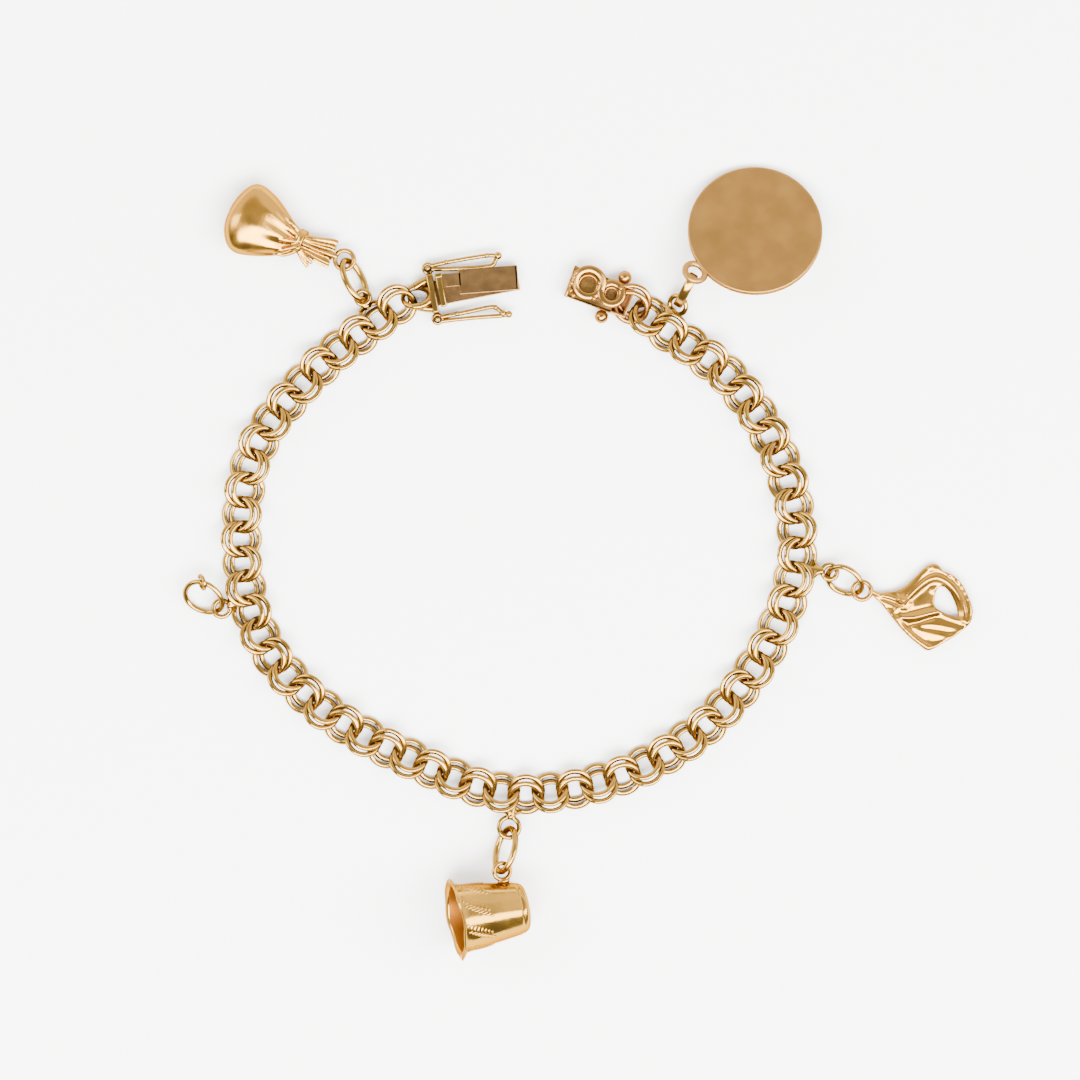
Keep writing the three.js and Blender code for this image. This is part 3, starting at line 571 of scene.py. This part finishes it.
bm = bmesh.new()
look = moneyBag
addLoft(bm, look["stations"], look["sides"], look["pleats"], look["lift"], look["mouthDepth"])
cordWide, cordHigh = look["cordReach"]
for station in look["cordStations"]:  # the cord goes twice round the neck, a little aslant
    turns = [math.tau * i / 40 for i in range(41)]
    neck = [Vector((station + look["cordSlant"] * math.sin(a), cordWide * math.cos(a),
                    cordHigh * math.sin(a) + look["lift"] * look["cordMiddle"])) for a in turns]
    sweep(bm, neck, look["cord"], closed=True, up=Vector((1, 0, 0)))
for width, line in look["bow"]:
    sweep(bm, smoothPath(line, 5), width)
addBead(bm, *look["knot"])
for width, line in look["gathers"]:  # each swells from the cord and runs out on the body
    path = smoothPath(line, 6)
    swell = [math.sin(math.pi * (0.2 + 0.78 * i / len(path))) for i in range(len(path))]
    sweep(bm, path, width, widths=[0.25 + rise * 0.75 for rise in swell])
bm = castSkin(bm, look["skin"], look["relax"])
addRing(bm, look["eyeRadius"], look["eyeWire"], steps=36)
sweep(bm, smoothPath(look["neck"], 4), look["neckWidth"])
finishPiece(bm, "tiedMoneyBag", "bracelet", castGold, placeOf(look),
            ["money_bag"], smoothAngle=80)
print("money bag made")


disc = {"at": (13.389, 33.002, 4.507), "radius": 7.8, "thickness": 0.9, "reach": 8.875, "lean": 18,
        "heading": 37, "edge": 0.2, "eyeRadius": 1.2, "eyeTilt": 24, "wire": 0.74, "sides": 160,
        "flatOver": 20, "flatMargin": 0.1, "solder": ((1.2, 0, 0), 0.5, (0.7, 1.9, 0.8))}
bm = bmesh.new()
bmesh.ops.create_circle(bm, cap_ends=True, segments=disc["sides"], radius=disc["radius"],
                        matrix=Matrix.Translation((disc["reach"], 0, -disc["thickness"] / 2)))
grown = bmesh.ops.extrude_face_region(bm, geom=bm.faces[:])["geom"]
moveVerts(bm, vertsOf(grown), Matrix.Translation((0, 0, disc["thickness"])))
corners = [e for e in bm.edges if abs(e.verts[0].co.z - e.verts[1].co.z) < 1e-6]
bmesh.ops.bevel(bm, geom=corners, offset=disc["edge"], affect="EDGES", segments=4, profile=0.5,
                material=-1)
keepFlat(bm, disc["flatOver"], disc["flatMargin"])
ring = addRing(bm, disc["eyeRadius"], disc["wire"], steps=36)
root = Matrix.Translation((disc["eyeRadius"], 0, 0))
moveVerts(bm, ring, root @ spinAbout("Y", disc["eyeTilt"]) @ root.inverted())
addBead(bm, *disc["solder"])
discPlace = (Matrix.Translation(disc["at"]) @ spinAbout("X", -disc["lean"])
             @ spinAbout("Z", disc["heading"]))
finishPiece(bm, "plainRoundDisc", "bracelet", satinGold, discPlace, ["disc"],
            smoothAngle=50)
print("disc made")


thimble = {  # spun from sheet
    "at": (-6.091, -39.857, 2.908), "heading": -170.4, "rise": 11.51, "away": 0.35,
    # along from the closed end and radius: outside to the rim, then back inside
    "outside": [
        (0.0, 0.0), (0.0, 1.7), (0.06, 2.4), (0.22, 2.7), (0.5, 2.88), (0.8, 2.98), (0.95, 2.96),
        (1.05, 3.05), (1.25, 3.12), (7.3, 3.95), (8.1, 4.07), (8.24, 4.16), (8.26, 4.3)],
    "rim": [(8.24, 4.58), (8.28, 4.74), (8.4, 4.8), (8.52, 4.72), (8.52, 4.5)],
    "inside": [
        (8.5, 4.24), (8.44, 4.06), (8.26, 3.96), (7.6, 3.84), (1.4, 2.85), (0.6, 2.6), (0.4, 2.3),
        (0.36, 0.0)],
    "sides": 140, "seamGap": 0.001, "insideTo": 8.3,
    # the rim pressed out of round
    "flatsFrom": 6.9, "flatsOver": 1.8, "rimWaves": (0.1, 0.06), "outOfRound": 0.012,
    "eye": (2.1, -4.186), "eyeRadius": 0.95, "wire": 0.52,
    "solderIn": 0.2, "solder": (0.45, (1.7, 0.8, 0.9)),
    # dents of wear: centre, reach and depth
    "dents": [((1.1, -0.6, 3.0), 1.0, 0.16), ((0.0, -1.2, 0.8), 0.9, 0.1),
              ((4.5, 3.0, 2.1), 1.4, 0.1)],
    # bright-cut sprays, each a slanted row of paired strokes
    "sprays": 8, "strokes": 8, "sprayFrom": 4.9, "sprayTo": 7.7, "sprayStart": 0.1, "slant": 0.5,
    "strokeApart": (0.12, 0.1), "strokeTilt": 40, "strokeFan": 32,
    "strokeLength": 0.3, "strokeMore": 0.16, "strokeSection": (0.1, 0.17),
}


# The outside between the band and the flare of the rim
def thimbleRadius(along):
    (fromHere, start), (toThere, end) = thimble["outside"][8:10]
    return start + (end - start) * (along - fromHere) / (toThere - fromHere)


bm = bmesh.new()
look = thimble
profile = look["outside"] + look["rim"] + look["inside"]
verts = [bm.verts.new((along, r, 0)) for along, r in profile]
edges = [bm.edges.new(pair) for pair in zip(verts, verts[1:])]
bmesh.ops.spin(bm, geom=verts + edges, cent=(0, 0, 0), axis=(1, 0, 0), angle=math.tau,
               steps=look["sides"], use_merge=True, use_duplicate=False)
bmesh.ops.remove_doubles(bm, verts=bm.verts, dist=look["seamGap"])
bmesh.ops.recalc_face_normals(bm, faces=bm.faces)
# the inward faces get the inside gold, whose deep orange is a painted reflection
for face in bm.faces:  # the faces that look in have the unpolished gold
    middle = face.calc_center_median()
    inward = face.normal.dot(Vector((1, -middle.y, -middle.z)))
    face.material_index = int(inward > 0 and middle.x < look["insideTo"])
bigWave, smallWave = look["rimWaves"]
outOfRound = look["outOfRound"]
for v in bm.verts:  # short flats round the rim
    share = max(0, (v.co.x - look["flatsFrom"]) / look["flatsOver"])
    turn = math.atan2(v.co.z, v.co.y)
    v.co.x += share * (bigWave * math.sin(3 * turn + 0.5) + smallWave * math.sin(7 * turn))
    flats = outOfRound * math.cos(2 * turn) + outOfRound * math.cos(9 * turn + 0.6)
    swell = 1 + share * share * flats
    v.co.y *= swell
    v.co.z *= swell
for centre, reach, depth in look["dents"]:
    for v in bm.verts:
        near = 1 - (v.co - Vector(centre)).length / reach
        if near > 0:
            v.co -= v.co.normalized() * depth * near * near * (3 - 2 * near)
apartAlong, apartRound = look["strokeApart"]
for number in range(look["sprays"]):
    for stroke in range(look["strokes"]):
        share = stroke / (look["strokes"] - 1)
        along = look["sprayFrom"] + (look["sprayTo"] - look["sprayFrom"]) * share
        turn = math.tau * (number + look["sprayStart"] + look["slant"] * share) / look["sprays"]
        size = look["strokeLength"] + look["strokeMore"] * math.sin(math.pi * share)
        for side in (1, -1):
            spin = Matrix.Rotation(turn + side * apartRound, 4, "X")
            spot = Matrix.Translation((along + side * apartAlong, thimbleRadius(along), 0))
            cut = spinAbout("Y", look["strokeTilt"] + side * look["strokeFan"])
            addBead(bm, (0, 0, 0), 1, (size, *look["strokeSection"]), place=spin @ spot @ cut)
moveVerts(bm, bm.verts, Matrix.Translation((0, look["away"], 0)))
ring = addRing(bm, look["eyeRadius"], look["wire"], steps=36)
eyeAlong, eyeAcross = look["eye"]
moveVerts(bm, ring, Matrix.Translation((eyeAlong, eyeAcross, 0)))
addBead(bm, (eyeAlong, eyeAcross + look["eyeRadius"] + look["solderIn"], 0), *look["solder"])
piece = finishPiece(bm, "miniatureThimble", "bracelet", hollowGold,
                    placeOf(look), ["thimble"], smoothAngle=50)
piece.data.materials.append(insideGold)
print("thimble made")


drape = {  # cast like a knotted, draped cloth
    "at": (32.909, -3.592, 1.418), "base": -1.4, "thickness": 0.95, "skin": 0.095, "relax": 3,
    "reliefFrom": 0.2, "reliefShort": 0.35, "foldShare": 0.8, "softening": 5,
    "eyeRadius": 1.05, "eyeWire": 0.55, "neckWidth": 0.66,
    "neck": [(0.95, -0.1, 0), (1.35, -0.3, -0.2), (2.1, -0.65, -0.6)],
    "outline": [
        (1.38, -0.46), (2.76, -0.2), (4.0, -0.01), (5.06, 0.52), (6.31, 1.67), (7.19, 2.56),
        (7.9, 3.0), (8.53, 3.13), (9.06, 2.83), (9.41, 2.3), (10.3, 1.94), (11.18, 1.32),
        (11.9, 0.34), (12.55, -1.08), (12.9, -2.15), (12.82, -3.21), (12.46, -3.92),
        (11.9, -4.45), (10.74, -5.34), (9.41, -6.14), (8.26, -6.8), (7.63, -6.98), (7.02, -6.62),
        (5.42, -5.3), (4.12, -3.9), (3.06, -2.5), (2.17, -1.44), (1.42, -0.74)],
    "opening": [
        (9.41, 0.5), (10.08, -0.04), (10.6, -0.9), (11.02, -1.97), (11.22, -2.96), (11.05, -3.08),
        (9.88, -2.7), (9.02, -2.28), (8.46, -1.76), (8.5, -0.72), (8.74, 0.2)],
    # folds and creases of the cloth: height, half width, the line that it follows
    "folds": [
        (0.44, 0.46, [(4.9, -1.0), (6.3, 0.2), (7.6, 1.2), (8.7, 1.5), (9.9, 1.05), (10.9, 0.05),
                      (11.6, -1.2), (11.95, -2.4), (11.9, -3.3)]),
        (0.22, 0.3, [(9.3, 2.2), (10.3, 1.7), (11.2, 1.0), (12.0, -0.1), (12.5, -1.4), (12.65, -2.6),
                     (12.4, -3.7)]),
        (0.3, 0.6, [(4.6, -0.4), (5.8, 0.6), (6.9, 1.75), (8.0, 2.55), (8.7, 2.5)]),
        (-0.2, 0.12, [(5.1, -0.8), (6.4, 0.7), (7.6, 1.8), (8.8, 2.15), (10.2, 1.5), (11.3, 0.4),
                      (12.0, -1.1), (12.25, -2.6)]),
        (0.42, 0.36, [(4.9, -3.15), (6.2, -3.05), (7.5, -2.7), (8.7, -2.45)]),
        (-0.2, 0.22, [(5.6, -3.95), (7.0, -3.6), (8.4, -3.1)]),
        (-0.14, 0.2, [(5.4, -2.4), (6.6, -2.15), (7.8, -1.85)]),
        (0.2, 0.34, [(8.8, -2.4), (9.9, -3.0), (11.2, -3.45), (12.2, -3.75)]),
        (0.16, 0.42, [(7.2, -3.9), (8.8, -3.95), (10.4, -4.3), (11.6, -4.45)]),
        (0.18, 0.42, [(6.0, -4.3), (7.6, -4.9), (9.2, -5.25), (10.4, -5.3)]),
        (-0.1, 0.2, [(6.6, -4.3), (8.4, -4.5), (10.2, -4.8)]),
        (0.4, 0.38, [(3.3, -2.6), (4.3, -3.65), (5.5, -4.9), (6.8, -6.0), (7.7, -6.6)]),
        (-0.2, 0.14, [(3.9, -2.65), (4.9, -3.6), (6.1, -4.85), (7.4, -5.9)]),
        (0.18, 0.3, [(8.2, -6.6), (9.4, -6.0), (10.8, -5.2), (12.0, -4.3), (12.6, -3.4)]),
        (0.28, 0.26, [(1.5, -0.6), (2.7, -0.6), (3.9, -0.95), (4.7, -1.35)]),
        (0.2, 0.24, [(1.7, -0.9), (2.8, -1.45), (3.9, -1.85), (4.6, -1.9)]),
        (-0.16, 0.12, [(2.4, -0.9), (3.4, -1.25), (4.4, -1.6)]),
        (0.25, 1.9, [(5.0, -1.9), (8.0, -3.9), (10.2, -4.3)])],
    # lumps of the knot and the corners: height, half width, place
    "knot": [(0.4, 0.42, 4.85, -1.15), (0.36, 0.34, 4.8, -2.0), (0.3, 0.34, 4.0, -2.25),
             (0.4, 0.42, 4.35, -3.05), (0.26, 0.3, 5.5, -1.6), (0.28, 0.28, 8.2, 0.1),
             (0.2, 0.3, 7.9, 2.75), (0.2, 0.26, 10.2, 1.85), (0.18, 0.24, 11.1, 1.2)],
    # beaded hem: its line, the beads' number, height and half width
    "hems": [([(9.6, 2.0), (10.7, 1.5), (11.6, 0.5), (12.3, -0.9)], 7),
             ([(5.0, -4.7), (5.8, -5.5), (6.7, -6.2)], 5)],
    "bead": (0.09, 0.15),
}


# A sheet between an outline and openings, grown upwards
def addPlate(bm, outline, openings, base, height):
    edges = []
    for loop in (outline, *openings):
        verts = [bm.verts.new((x, y, base)) for x, y in loop]
        edges += [bm.edges.new(pair) for pair in zip(verts, verts[1:] + verts[:1])]
    filled = bmesh.ops.triangle_fill(bm, use_beauty=True, use_dissolve=False, edges=edges)["geom"]
    faces = [g for g in filled if isinstance(g, bmesh.types.BMFace)]
    grown = bmesh.ops.extrude_face_region(bm, geom=faces)["geom"]
    moveVerts(bm, vertsOf(grown), Matrix.Translation((0, 0, height)))


def smoothLoop(points, perSpan=4):
    count = len(points)
    knots = [Vector((*points[i % count], 0)) for i in range(-2, count + 3)]
    fine = [curvePoint(knots, 2 + i / perSpan) for i in range(count * perSpan)]
    return [(p.x, p.y) for p in fine]


def flatPath(line, perSpan):
    return [p.xy for p in smoothPath([(x, y, 0) for x, y in line], perSpan)]


# How far a point of the cloth stands above the plain sheet
def foldHeight(point, lines, bumps):
    rise = 0.0
    for height, width, path in lines:
        reach = width * 2.6 + 1  # past this the fold is too low to count
        if not any(abs(p.x - point.x) < reach and abs(p.y - point.y) < reach for p in path):
            continue
        nearest = math.inf
        for a, b in zip(path, path[1:]):
            span = b - a
            share = max(0, min(1, (point - a).dot(span) / span.length_squared))
            nearest = min(nearest, (a + span * share - point).length_squared)
        rise += height * math.exp(-nearest / width ** 2)
    for height, width, spot in bumps:
        rise += height * math.exp(-(spot - point).length_squared / width ** 2)
    return rise


bm = bmesh.new()
look = drape
addPlate(bm, smoothLoop(look["outline"]), [smoothLoop(look["opening"])], look["base"],
         look["thickness"])
bm = castSkin(bm, look["skin"], look["relax"])
foldLines = [(height, width, flatPath(line, 3)) for height, width, line in look["folds"]]
bumps = [(height, width, Vector((x, y))) for height, width, x, y in look["knot"]]
for line, count in look["hems"]:
    path = flatPath(line, 10)
    bumps += [(*look["bead"], path[int(i * (len(path) - 1) / (count - 1))]) for i in range(count)]
for v in bm.verts:
    up = (v.co.z - look["base"] - look["reliefFrom"]) / (look["thickness"] - look["reliefShort"])
    share = max(0, min(1, up))
    if share > 0:
        v.co.z += share * look["foldShare"] * foldHeight(v.co.xy, foldLines, bumps)
for _ in range(look["softening"]):
    bmesh.ops.smooth_vert(bm, verts=bm.verts, factor=0.5, use_axis_x=True, use_axis_y=True,
                          use_axis_z=True)
addRing(bm, look["eyeRadius"], look["eyeWire"], steps=36)
sweep(bm, smoothPath(look["neck"], 4), look["neckWidth"])
finishPiece(bm, "drapedCastCharm", "bracelet", castGold, placeOf(look),
            ["draped_charm"], smoothAngle=80)
print("draped charm made")


tongue = {  # folded from sheet, with a wire yoke, an end plate and a thumb bar
    "at": (-18.677, 30.501, 0.018), "heading": 11,
    "loop": (1.7, 1.42), "loopLean": 36, "loopWire": 1.0, "loopTaper": (0.82, 0.28),
    "shoulders": [(0.95, [(-0.1, 1.15, 1.35), (0.8, 1.5, 1.25), (1.6, 1.7, 1.15)]),
                  (0.95, [(-0.1, -1.15, 1.0), (0.8, -1.5, 1.1), (1.6, -1.7, 1.15)])],
    # two corners and the rounding of their edges
    "plate": ((1.45, -2.25, 0.1), (2.2, 2.25, 2.3), 0.14),
    "bar": ((2.5, -1.75, 1.2), (3.2, 2.1, 2.65), 0.12),
    "barCap": ((2.42, 1.62, 1.75), (3.3, 2.2, 2.75), 0.12),
    # the leaf: a low and a high strip that meet in the fold at the tip, the high one on a neck
    "leafTurn": -6.5, "leafPivot": (11.6, 0, 0), "leafThickness": 0.35, "halfWidth": 1.45,
    "leafBottom": 0.1, "lowTop": 0.45, "leafTop": 1.55, "lowFrom": 2.0, "highFrom": 5.0,
    "neck": (3.0, 5.3), "neckSide": -0.45, "neckInset": 0.35, "tip": 11.9, "leafGoldFrom": 3.35,
    # the catches' arms and posts
    "arm": (1.5, 2.15), "armFrom": 2.1, "armBottom": 0.12, "armTop": 0.45,
    "postX": 1.825, "postY": 2.99, "postHeights": (0.28, 0.8, 1.3, 1.62), "postWidth": 0.34,
    "postTop": 1.66, "postHead": (0.26, (1, 1, 0.6)), "flatOver": 0.8, "flatMargin": 0.05,
}
bm = bmesh.new()
look = tongue
lean = spinAbout("X", -look["loopLean"])
path = [lean @ p for p in ovalPath(*look["loop"], steps=48)]
thin, thicker = look["loopTaper"]  # the loop is thickest where the shoulders leave it
sizes = [thin + thicker * math.cos(math.tau * i / 48) for i in range(49)]
loopVerts = sweep(bm, path, look["loopWire"], closed=True, widths=sizes,
                  up=lean @ Vector((0, 0, 1)))
moveVerts(bm, loopVerts, Matrix.Translation((0, 0, chain["height"])))
for width, line in look["shoulders"]:
    sweep(bm, smoothPath(line, 5), width)
for part in ("plate", "bar", "barCap"):
    addBlock(bm, *look[part])
leafTurn = (Matrix.Translation(look["leafPivot"]) @ spinAbout("Z", look["leafTurn"])
            @ Matrix.Translation(-Vector(look["leafPivot"])))
half, thick, tip = look["halfWidth"], look["leafThickness"], look["tip"]
bottom, low, high = look["leafBottom"], look["lowTop"], look["leafTop"]
neckFrom, neckTo = look["neck"]
addBlock(bm, (look["lowFrom"], -half, bottom), (tip, half, low), 0.06)
addBlock(bm, (look["highFrom"], -half, high - thick), (tip, half, high), 0.07, leafTurn)
addBlock(bm, (neckFrom, look["neckSide"], high - thick), (neckTo, half - look["neckInset"], high),
         0.05, leafTurn)
addBlock(bm, (tip - thick, -half, bottom), (tip, half, high), 0.09, leafTurn)
armFrom, armTo = look["arm"]
for side in (1, -1):
    x, y = look["postX"], side * look["postY"]
    inner, outer = sorted((side * look["armFrom"], y))
    addBlock(bm, (armFrom, inner, look["armBottom"]), (armTo, outer, look["armTop"]), 0.06)
    pin = [Vector((x, y, z)) for z in look["postHeights"]]
    sweep(bm, pin, look["postWidth"], up=Vector((1, 0, 0)))
    addBead(bm, (x, y, look["postTop"]), *look["postHead"])
keepFlat(bm, look["flatOver"], look["flatMargin"])
for face in bm.faces:
    face.material_index = int(face.calc_center_median().x > look["leafGoldFrom"])
piece = finishPiece(bm, "claspTongueLeaf", "bracelet", wireGold, placeOf(look),
                    ["clasp_tongue"], smoothAngle=35)
piece.data.materials.append(leafGold)
print("clasp tongue made")


catchEyeShare = 0.85  # the eye's wire is a little thinner than the arms'
catches = {  # hairpins of wire
    "outer_catch": {
        "at": (-17.456, 33.784, 1.218), "heading": 10, "body": "outer_catch_body",
        "eye": 0.5, "wire": 0.52,
        "straight": [(0.4, 0.25, 0), (2.2, 0.33, 0), (4.8, 0.34, 0), (7.1, 0.28, 0), (8.1, 0.1, 0)],
        "bulged": [(0.45, -0.15, 0), (2.0, -0.42, 0), (4.6, -0.78, 0), (6.9, -0.98, 0),
                   (7.55, -0.88, 0), (7.85, -0.5, 0), (8.2, 0.0, 0)],
        "balls": [(8.28, 0.05, 0, 0.46)], "beads": [(2.25, 0.38, 0.1, 0.28), (7.0, 0.3, 0.1, 0.3)]},
    "inner_catch": {
        "at": (-16.315, 27.914, 1.218), "heading": 4, "body": "inner_catch_body",
        "eye": 0.5, "wire": 0.52,
        "straight": [(0.4, -0.28, 0), (2.5, -0.18, 0), (5.0, -0.12, 0), (7.2, -0.12, 0),
                     (8.1, -0.05, 0)],
        "bulged": [(0.45, 0.2, 0), (2.3, 0.42, 0), (4.4, 0.72, 0), (6.1, 0.96, 0), (6.75, 0.9, 0),
                   (7.25, 0.5, 0), (7.6, 0.15, 0)],
        "balls": [(7.6, 0.12, 0, 0.42), (8.28, -0.02, 0, 0.42)],
        "beads": [(2.3, 0.45, 0.1, 0.3), (6.8, 0.88, 0.06, 0.32)]},
}
for node, look in catches.items():
    bm = bmesh.new()
    sweep(bm, ovalPath(look["eye"], look["eye"], 32), look["wire"] * catchEyeShare, closed=True)
    for line in ("straight", "bulged"):
        sweep(bm, smoothPath(look[line], 6), look["wire"])
    for x, y, z, size in look["balls"] + look["beads"]:
        addBead(bm, (x, y, z), size, rounds=3)
    finishPiece(bm, node.replace("_", "") + "Hairpin", look["body"], wireGold,
                placeOf(look), [node], smoothAngle=60)
print("side catches made")


claspBox = {  # its roof pierced and trimmed with the chain's own rings
    "at": (-1.007, 32.341, 0.018), "heading": -20.2,
    "length": 7.5, "width": 3.7, "height": 2.05, "wall": 0.32, "endShare": 0.7,
    # the lip of the mouth: from and to along, over the sides, down and up from the roof
    "lip": (-0.04, 0.34, 0.05, 0.34, 0.04),
    "roofFrom": 0.1, "roofLength": 5.7, "roofInset": 0.05, "holeShift": 0.6,
    # along, across, middle radius, width, height and tilt of each flat ring
    "rings": [(2.2, 0.5, 1.6, 1.0, 0.55, 7), (5.1, 0.3, 1.25, 0.9, 0.52, -8)],
    "ringRaise": 0.3, "innerWire": 0.36, "innerFit": 0.02, "endStation": 7.75,
    "studs": [(5.9, 2.6), (4.9, -2.6)], "studRadius": 0.78, "studHeight": 1.15,
    "studNeck": 0.62, "studRoot": 0.1,
    # worn solder between the rings: places, height over the roof, size and stretch
    "beads": [(0.42, 1.15), (0.3, 0.55), (0.32, -0.2), (0.5, -1.0), (1.0, -1.45), (3.35, 0.95),
              (3.35, -0.95), (5.9, 1.2)],
    "beadHeight": 0.3, "bead": (0.27, (1.1, 1, 0.8)), "flatOver": 1.5, "flatMargin": 0.05,
}
bm = bmesh.new()
look = claspBox
half, wall, length, height = look["width"] / 2, look["wall"], look["length"], look["height"]
addBlock(bm, (0, -half, 0), (length, half, wall), 0.05)
for side in (1, -1):
    low, high = sorted((side * half, side * (half - wall)))
    addBlock(bm, (0, low, 0), (length, high, height), 0.08)
addBlock(bm, (length - wall, -half, 0), (length, half, height * look["endShare"]), 0.06)
lipFrom, lipTo, lipOver, lipDown, lipUp = look["lip"]
addBlock(bm, (lipFrom, -half - lipOver, height - lipDown), (lipTo, half + lipOver, height + lipUp),
         0.08)
near, far, edge = look["roofFrom"], look["roofLength"], half - look["roofInset"]
turns = [math.tau * i / 48 for i in range(48)]
holes = []
for x, y, radius, width, _, _ in look["rings"]:
    hole = radius - width / 2
    holes.append([(x + hole * math.cos(a), y * look["holeShift"] + hole * math.sin(a))
                  for a in turns])
addPlate(bm, [(near, -edge), (far, -edge), (far, edge), (near, edge)], holes, height - wall, wall)
for x, y, radius, width, thick, tilt in look["rings"]:  # each overlaps the next as in the chain
    ring = addRing(bm, radius, thick, sides=20, steps=64, spread=width / thick)
    top = Matrix.Translation((x, y, height + thick * look["ringRaise"]))
    moveVerts(bm, ring, top @ spinAbout("X", tilt))
    inner = addRing(bm, radius - width / 2 + look["innerFit"], look["innerWire"], steps=48)
    top = Matrix.Translation((x, y * look["holeShift"], height - look["innerFit"]))
    moveVerts(bm, inner, top @ spinAbout("X", tilt))
for x, y in look["studs"]:
    ball = Vector((x, y, look["studHeight"]))
    root = Vector((x, math.copysign(half - look["studRoot"], y), look["studHeight"]))
    addBead(bm, ball, look["studRadius"], rounds=4)
    sweep(bm, [root, ball], look["studNeck"])
for x, y in look["beads"]:
    addBead(bm, (x, y, height + look["beadHeight"]), *look["bead"])
keepFlat(bm, look["flatOver"], look["flatMargin"])
addRingPair(bm, look["endStation"], 1, chain["height"])
finishPiece(bm, "claspBoxPierced", "bracelet", boxGold, placeOf(look),
            ["clasp_box"], smoothAngle=40)
print("clasp box made")


studio = {
    "table": "#f6f5f4", "tableRough": 0.6, "tableHalf": 3.0,
    # height of the sky, as the sine of the angle above the table, and its tone there
    "northSky": [(0.0, "#f4efe6"), (0.55, "#f6f1e8"), (0.74, "#a9a59e"), (0.93, "#9c9a98"),
                 (1.0, "#7b8192")],
    "southSky": [(0.0, "#5d6066"), (0.55, "#66686c"), (0.74, "#a49f97"), (0.93, "#a19d98"),
                 (1.0, "#7b8192")],
    "skyBlend": 0.35, "skyStrength": 4.2,
    "lamps": {  # place, size, watts
        "southSoftbox": ((0.06, -0.52, 0.95), (1.3, 0.55), 86),
        "eastSoftbox": ((0.7, -0.1, 0.66), (0.5, 0.6), 20),
        "westSoftbox": ((-0.78, 0.15, 0.6), (0.35, 0.6), 10)},
    # the camera's frame in millimetres, measured at frameLevel, and its height in metres
    "frameMiddle": (-4.434, 2.284), "frameWidth": 125.3, "frameLevel": 0.0012, "cameraHeight": 0.9,
    "sensor": 36, "clip": (0.01, 10),
}

bm = bmesh.new()
bmesh.ops.create_grid(bm, x_segments=1, y_segments=1, size=studio["tableHalf"])
table = addObject("table", meshFrom(bm, "table"))
paper = bpy.data.materials.new("matteWhiteTable")
paper.use_nodes = True
shader = paper.node_tree.nodes["Principled BSDF"]
shader.inputs["Base Color"].default_value = srgb(studio["table"])
shader.inputs["Roughness"].default_value = studio["tableRough"]
table.data.materials.append(paper)

world = bpy.data.worlds.new("studio")
bpy.context.scene.world = world
world.use_nodes = True
tree = world.node_tree
direction = addNode(tree, "ShaderNodeTexCoord").outputs["Generated"]
axes = addNode(tree, "ShaderNodeSeparateXYZ", None, {"Vector": direction})
skies = []
for side in ("northSky", "southSky"):
    ramp = addNode(tree, "ShaderNodeValToRGB", None, {"Fac": axes.outputs["Z"]})
    stops = ramp.color_ramp.elements
    bottom, *between, top = studio[side]
    stops[0].position, stops[0].color = bottom[0], srgb(bottom[1])
    stops[1].position, stops[1].color = top[0], srgb(top[1])
    for position, shade in between:
        stops.new(position).color = srgb(shade)
    skies.append(ramp.outputs["Color"])
northward = addNode(tree, "ShaderNodeMapRange",
                    {"From Min": -studio["skyBlend"], "From Max": studio["skyBlend"]},
                    {"Value": axes.outputs["Y"]})
sky = addNode(tree, "ShaderNodeMix", {"data_type": "RGBA"},
              {0: northward.outputs["Result"], 6: skies[1], 7: skies[0]})
background = tree.nodes["Background"]
tree.links.new(sky.outputs[2], background.inputs["Color"])
background.inputs["Strength"].default_value = studio["skyStrength"]

for name, (place, size, power) in studio["lamps"].items():
    light = bpy.data.lights.new(name, "AREA")
    light.shape = "RECTANGLE"
    light.size, light.size_y = size
    light.energy = power
    lamp = addObject(name, light)
    lamp.location = place
    lamp.rotation_euler = (-Vector(place)).to_track_quat("-Z", "Y").to_euler()

camera = addObject("overheadCamera", bpy.data.cameras.new("overheadCamera"))
bpy.context.scene.camera = camera
x, y = studio["frameMiddle"]
camera.location = (x * millimetre, y * millimetre, studio["cameraHeight"])
camera.data.sensor_width = studio["sensor"]
camera.data.lens = (studio["sensor"] * (studio["cameraHeight"] - studio["frameLevel"])
                    / (studio["frameWidth"] * millimetre))
camera.data.clip_start, camera.data.clip_end = studio["clip"]
print("studio ready")
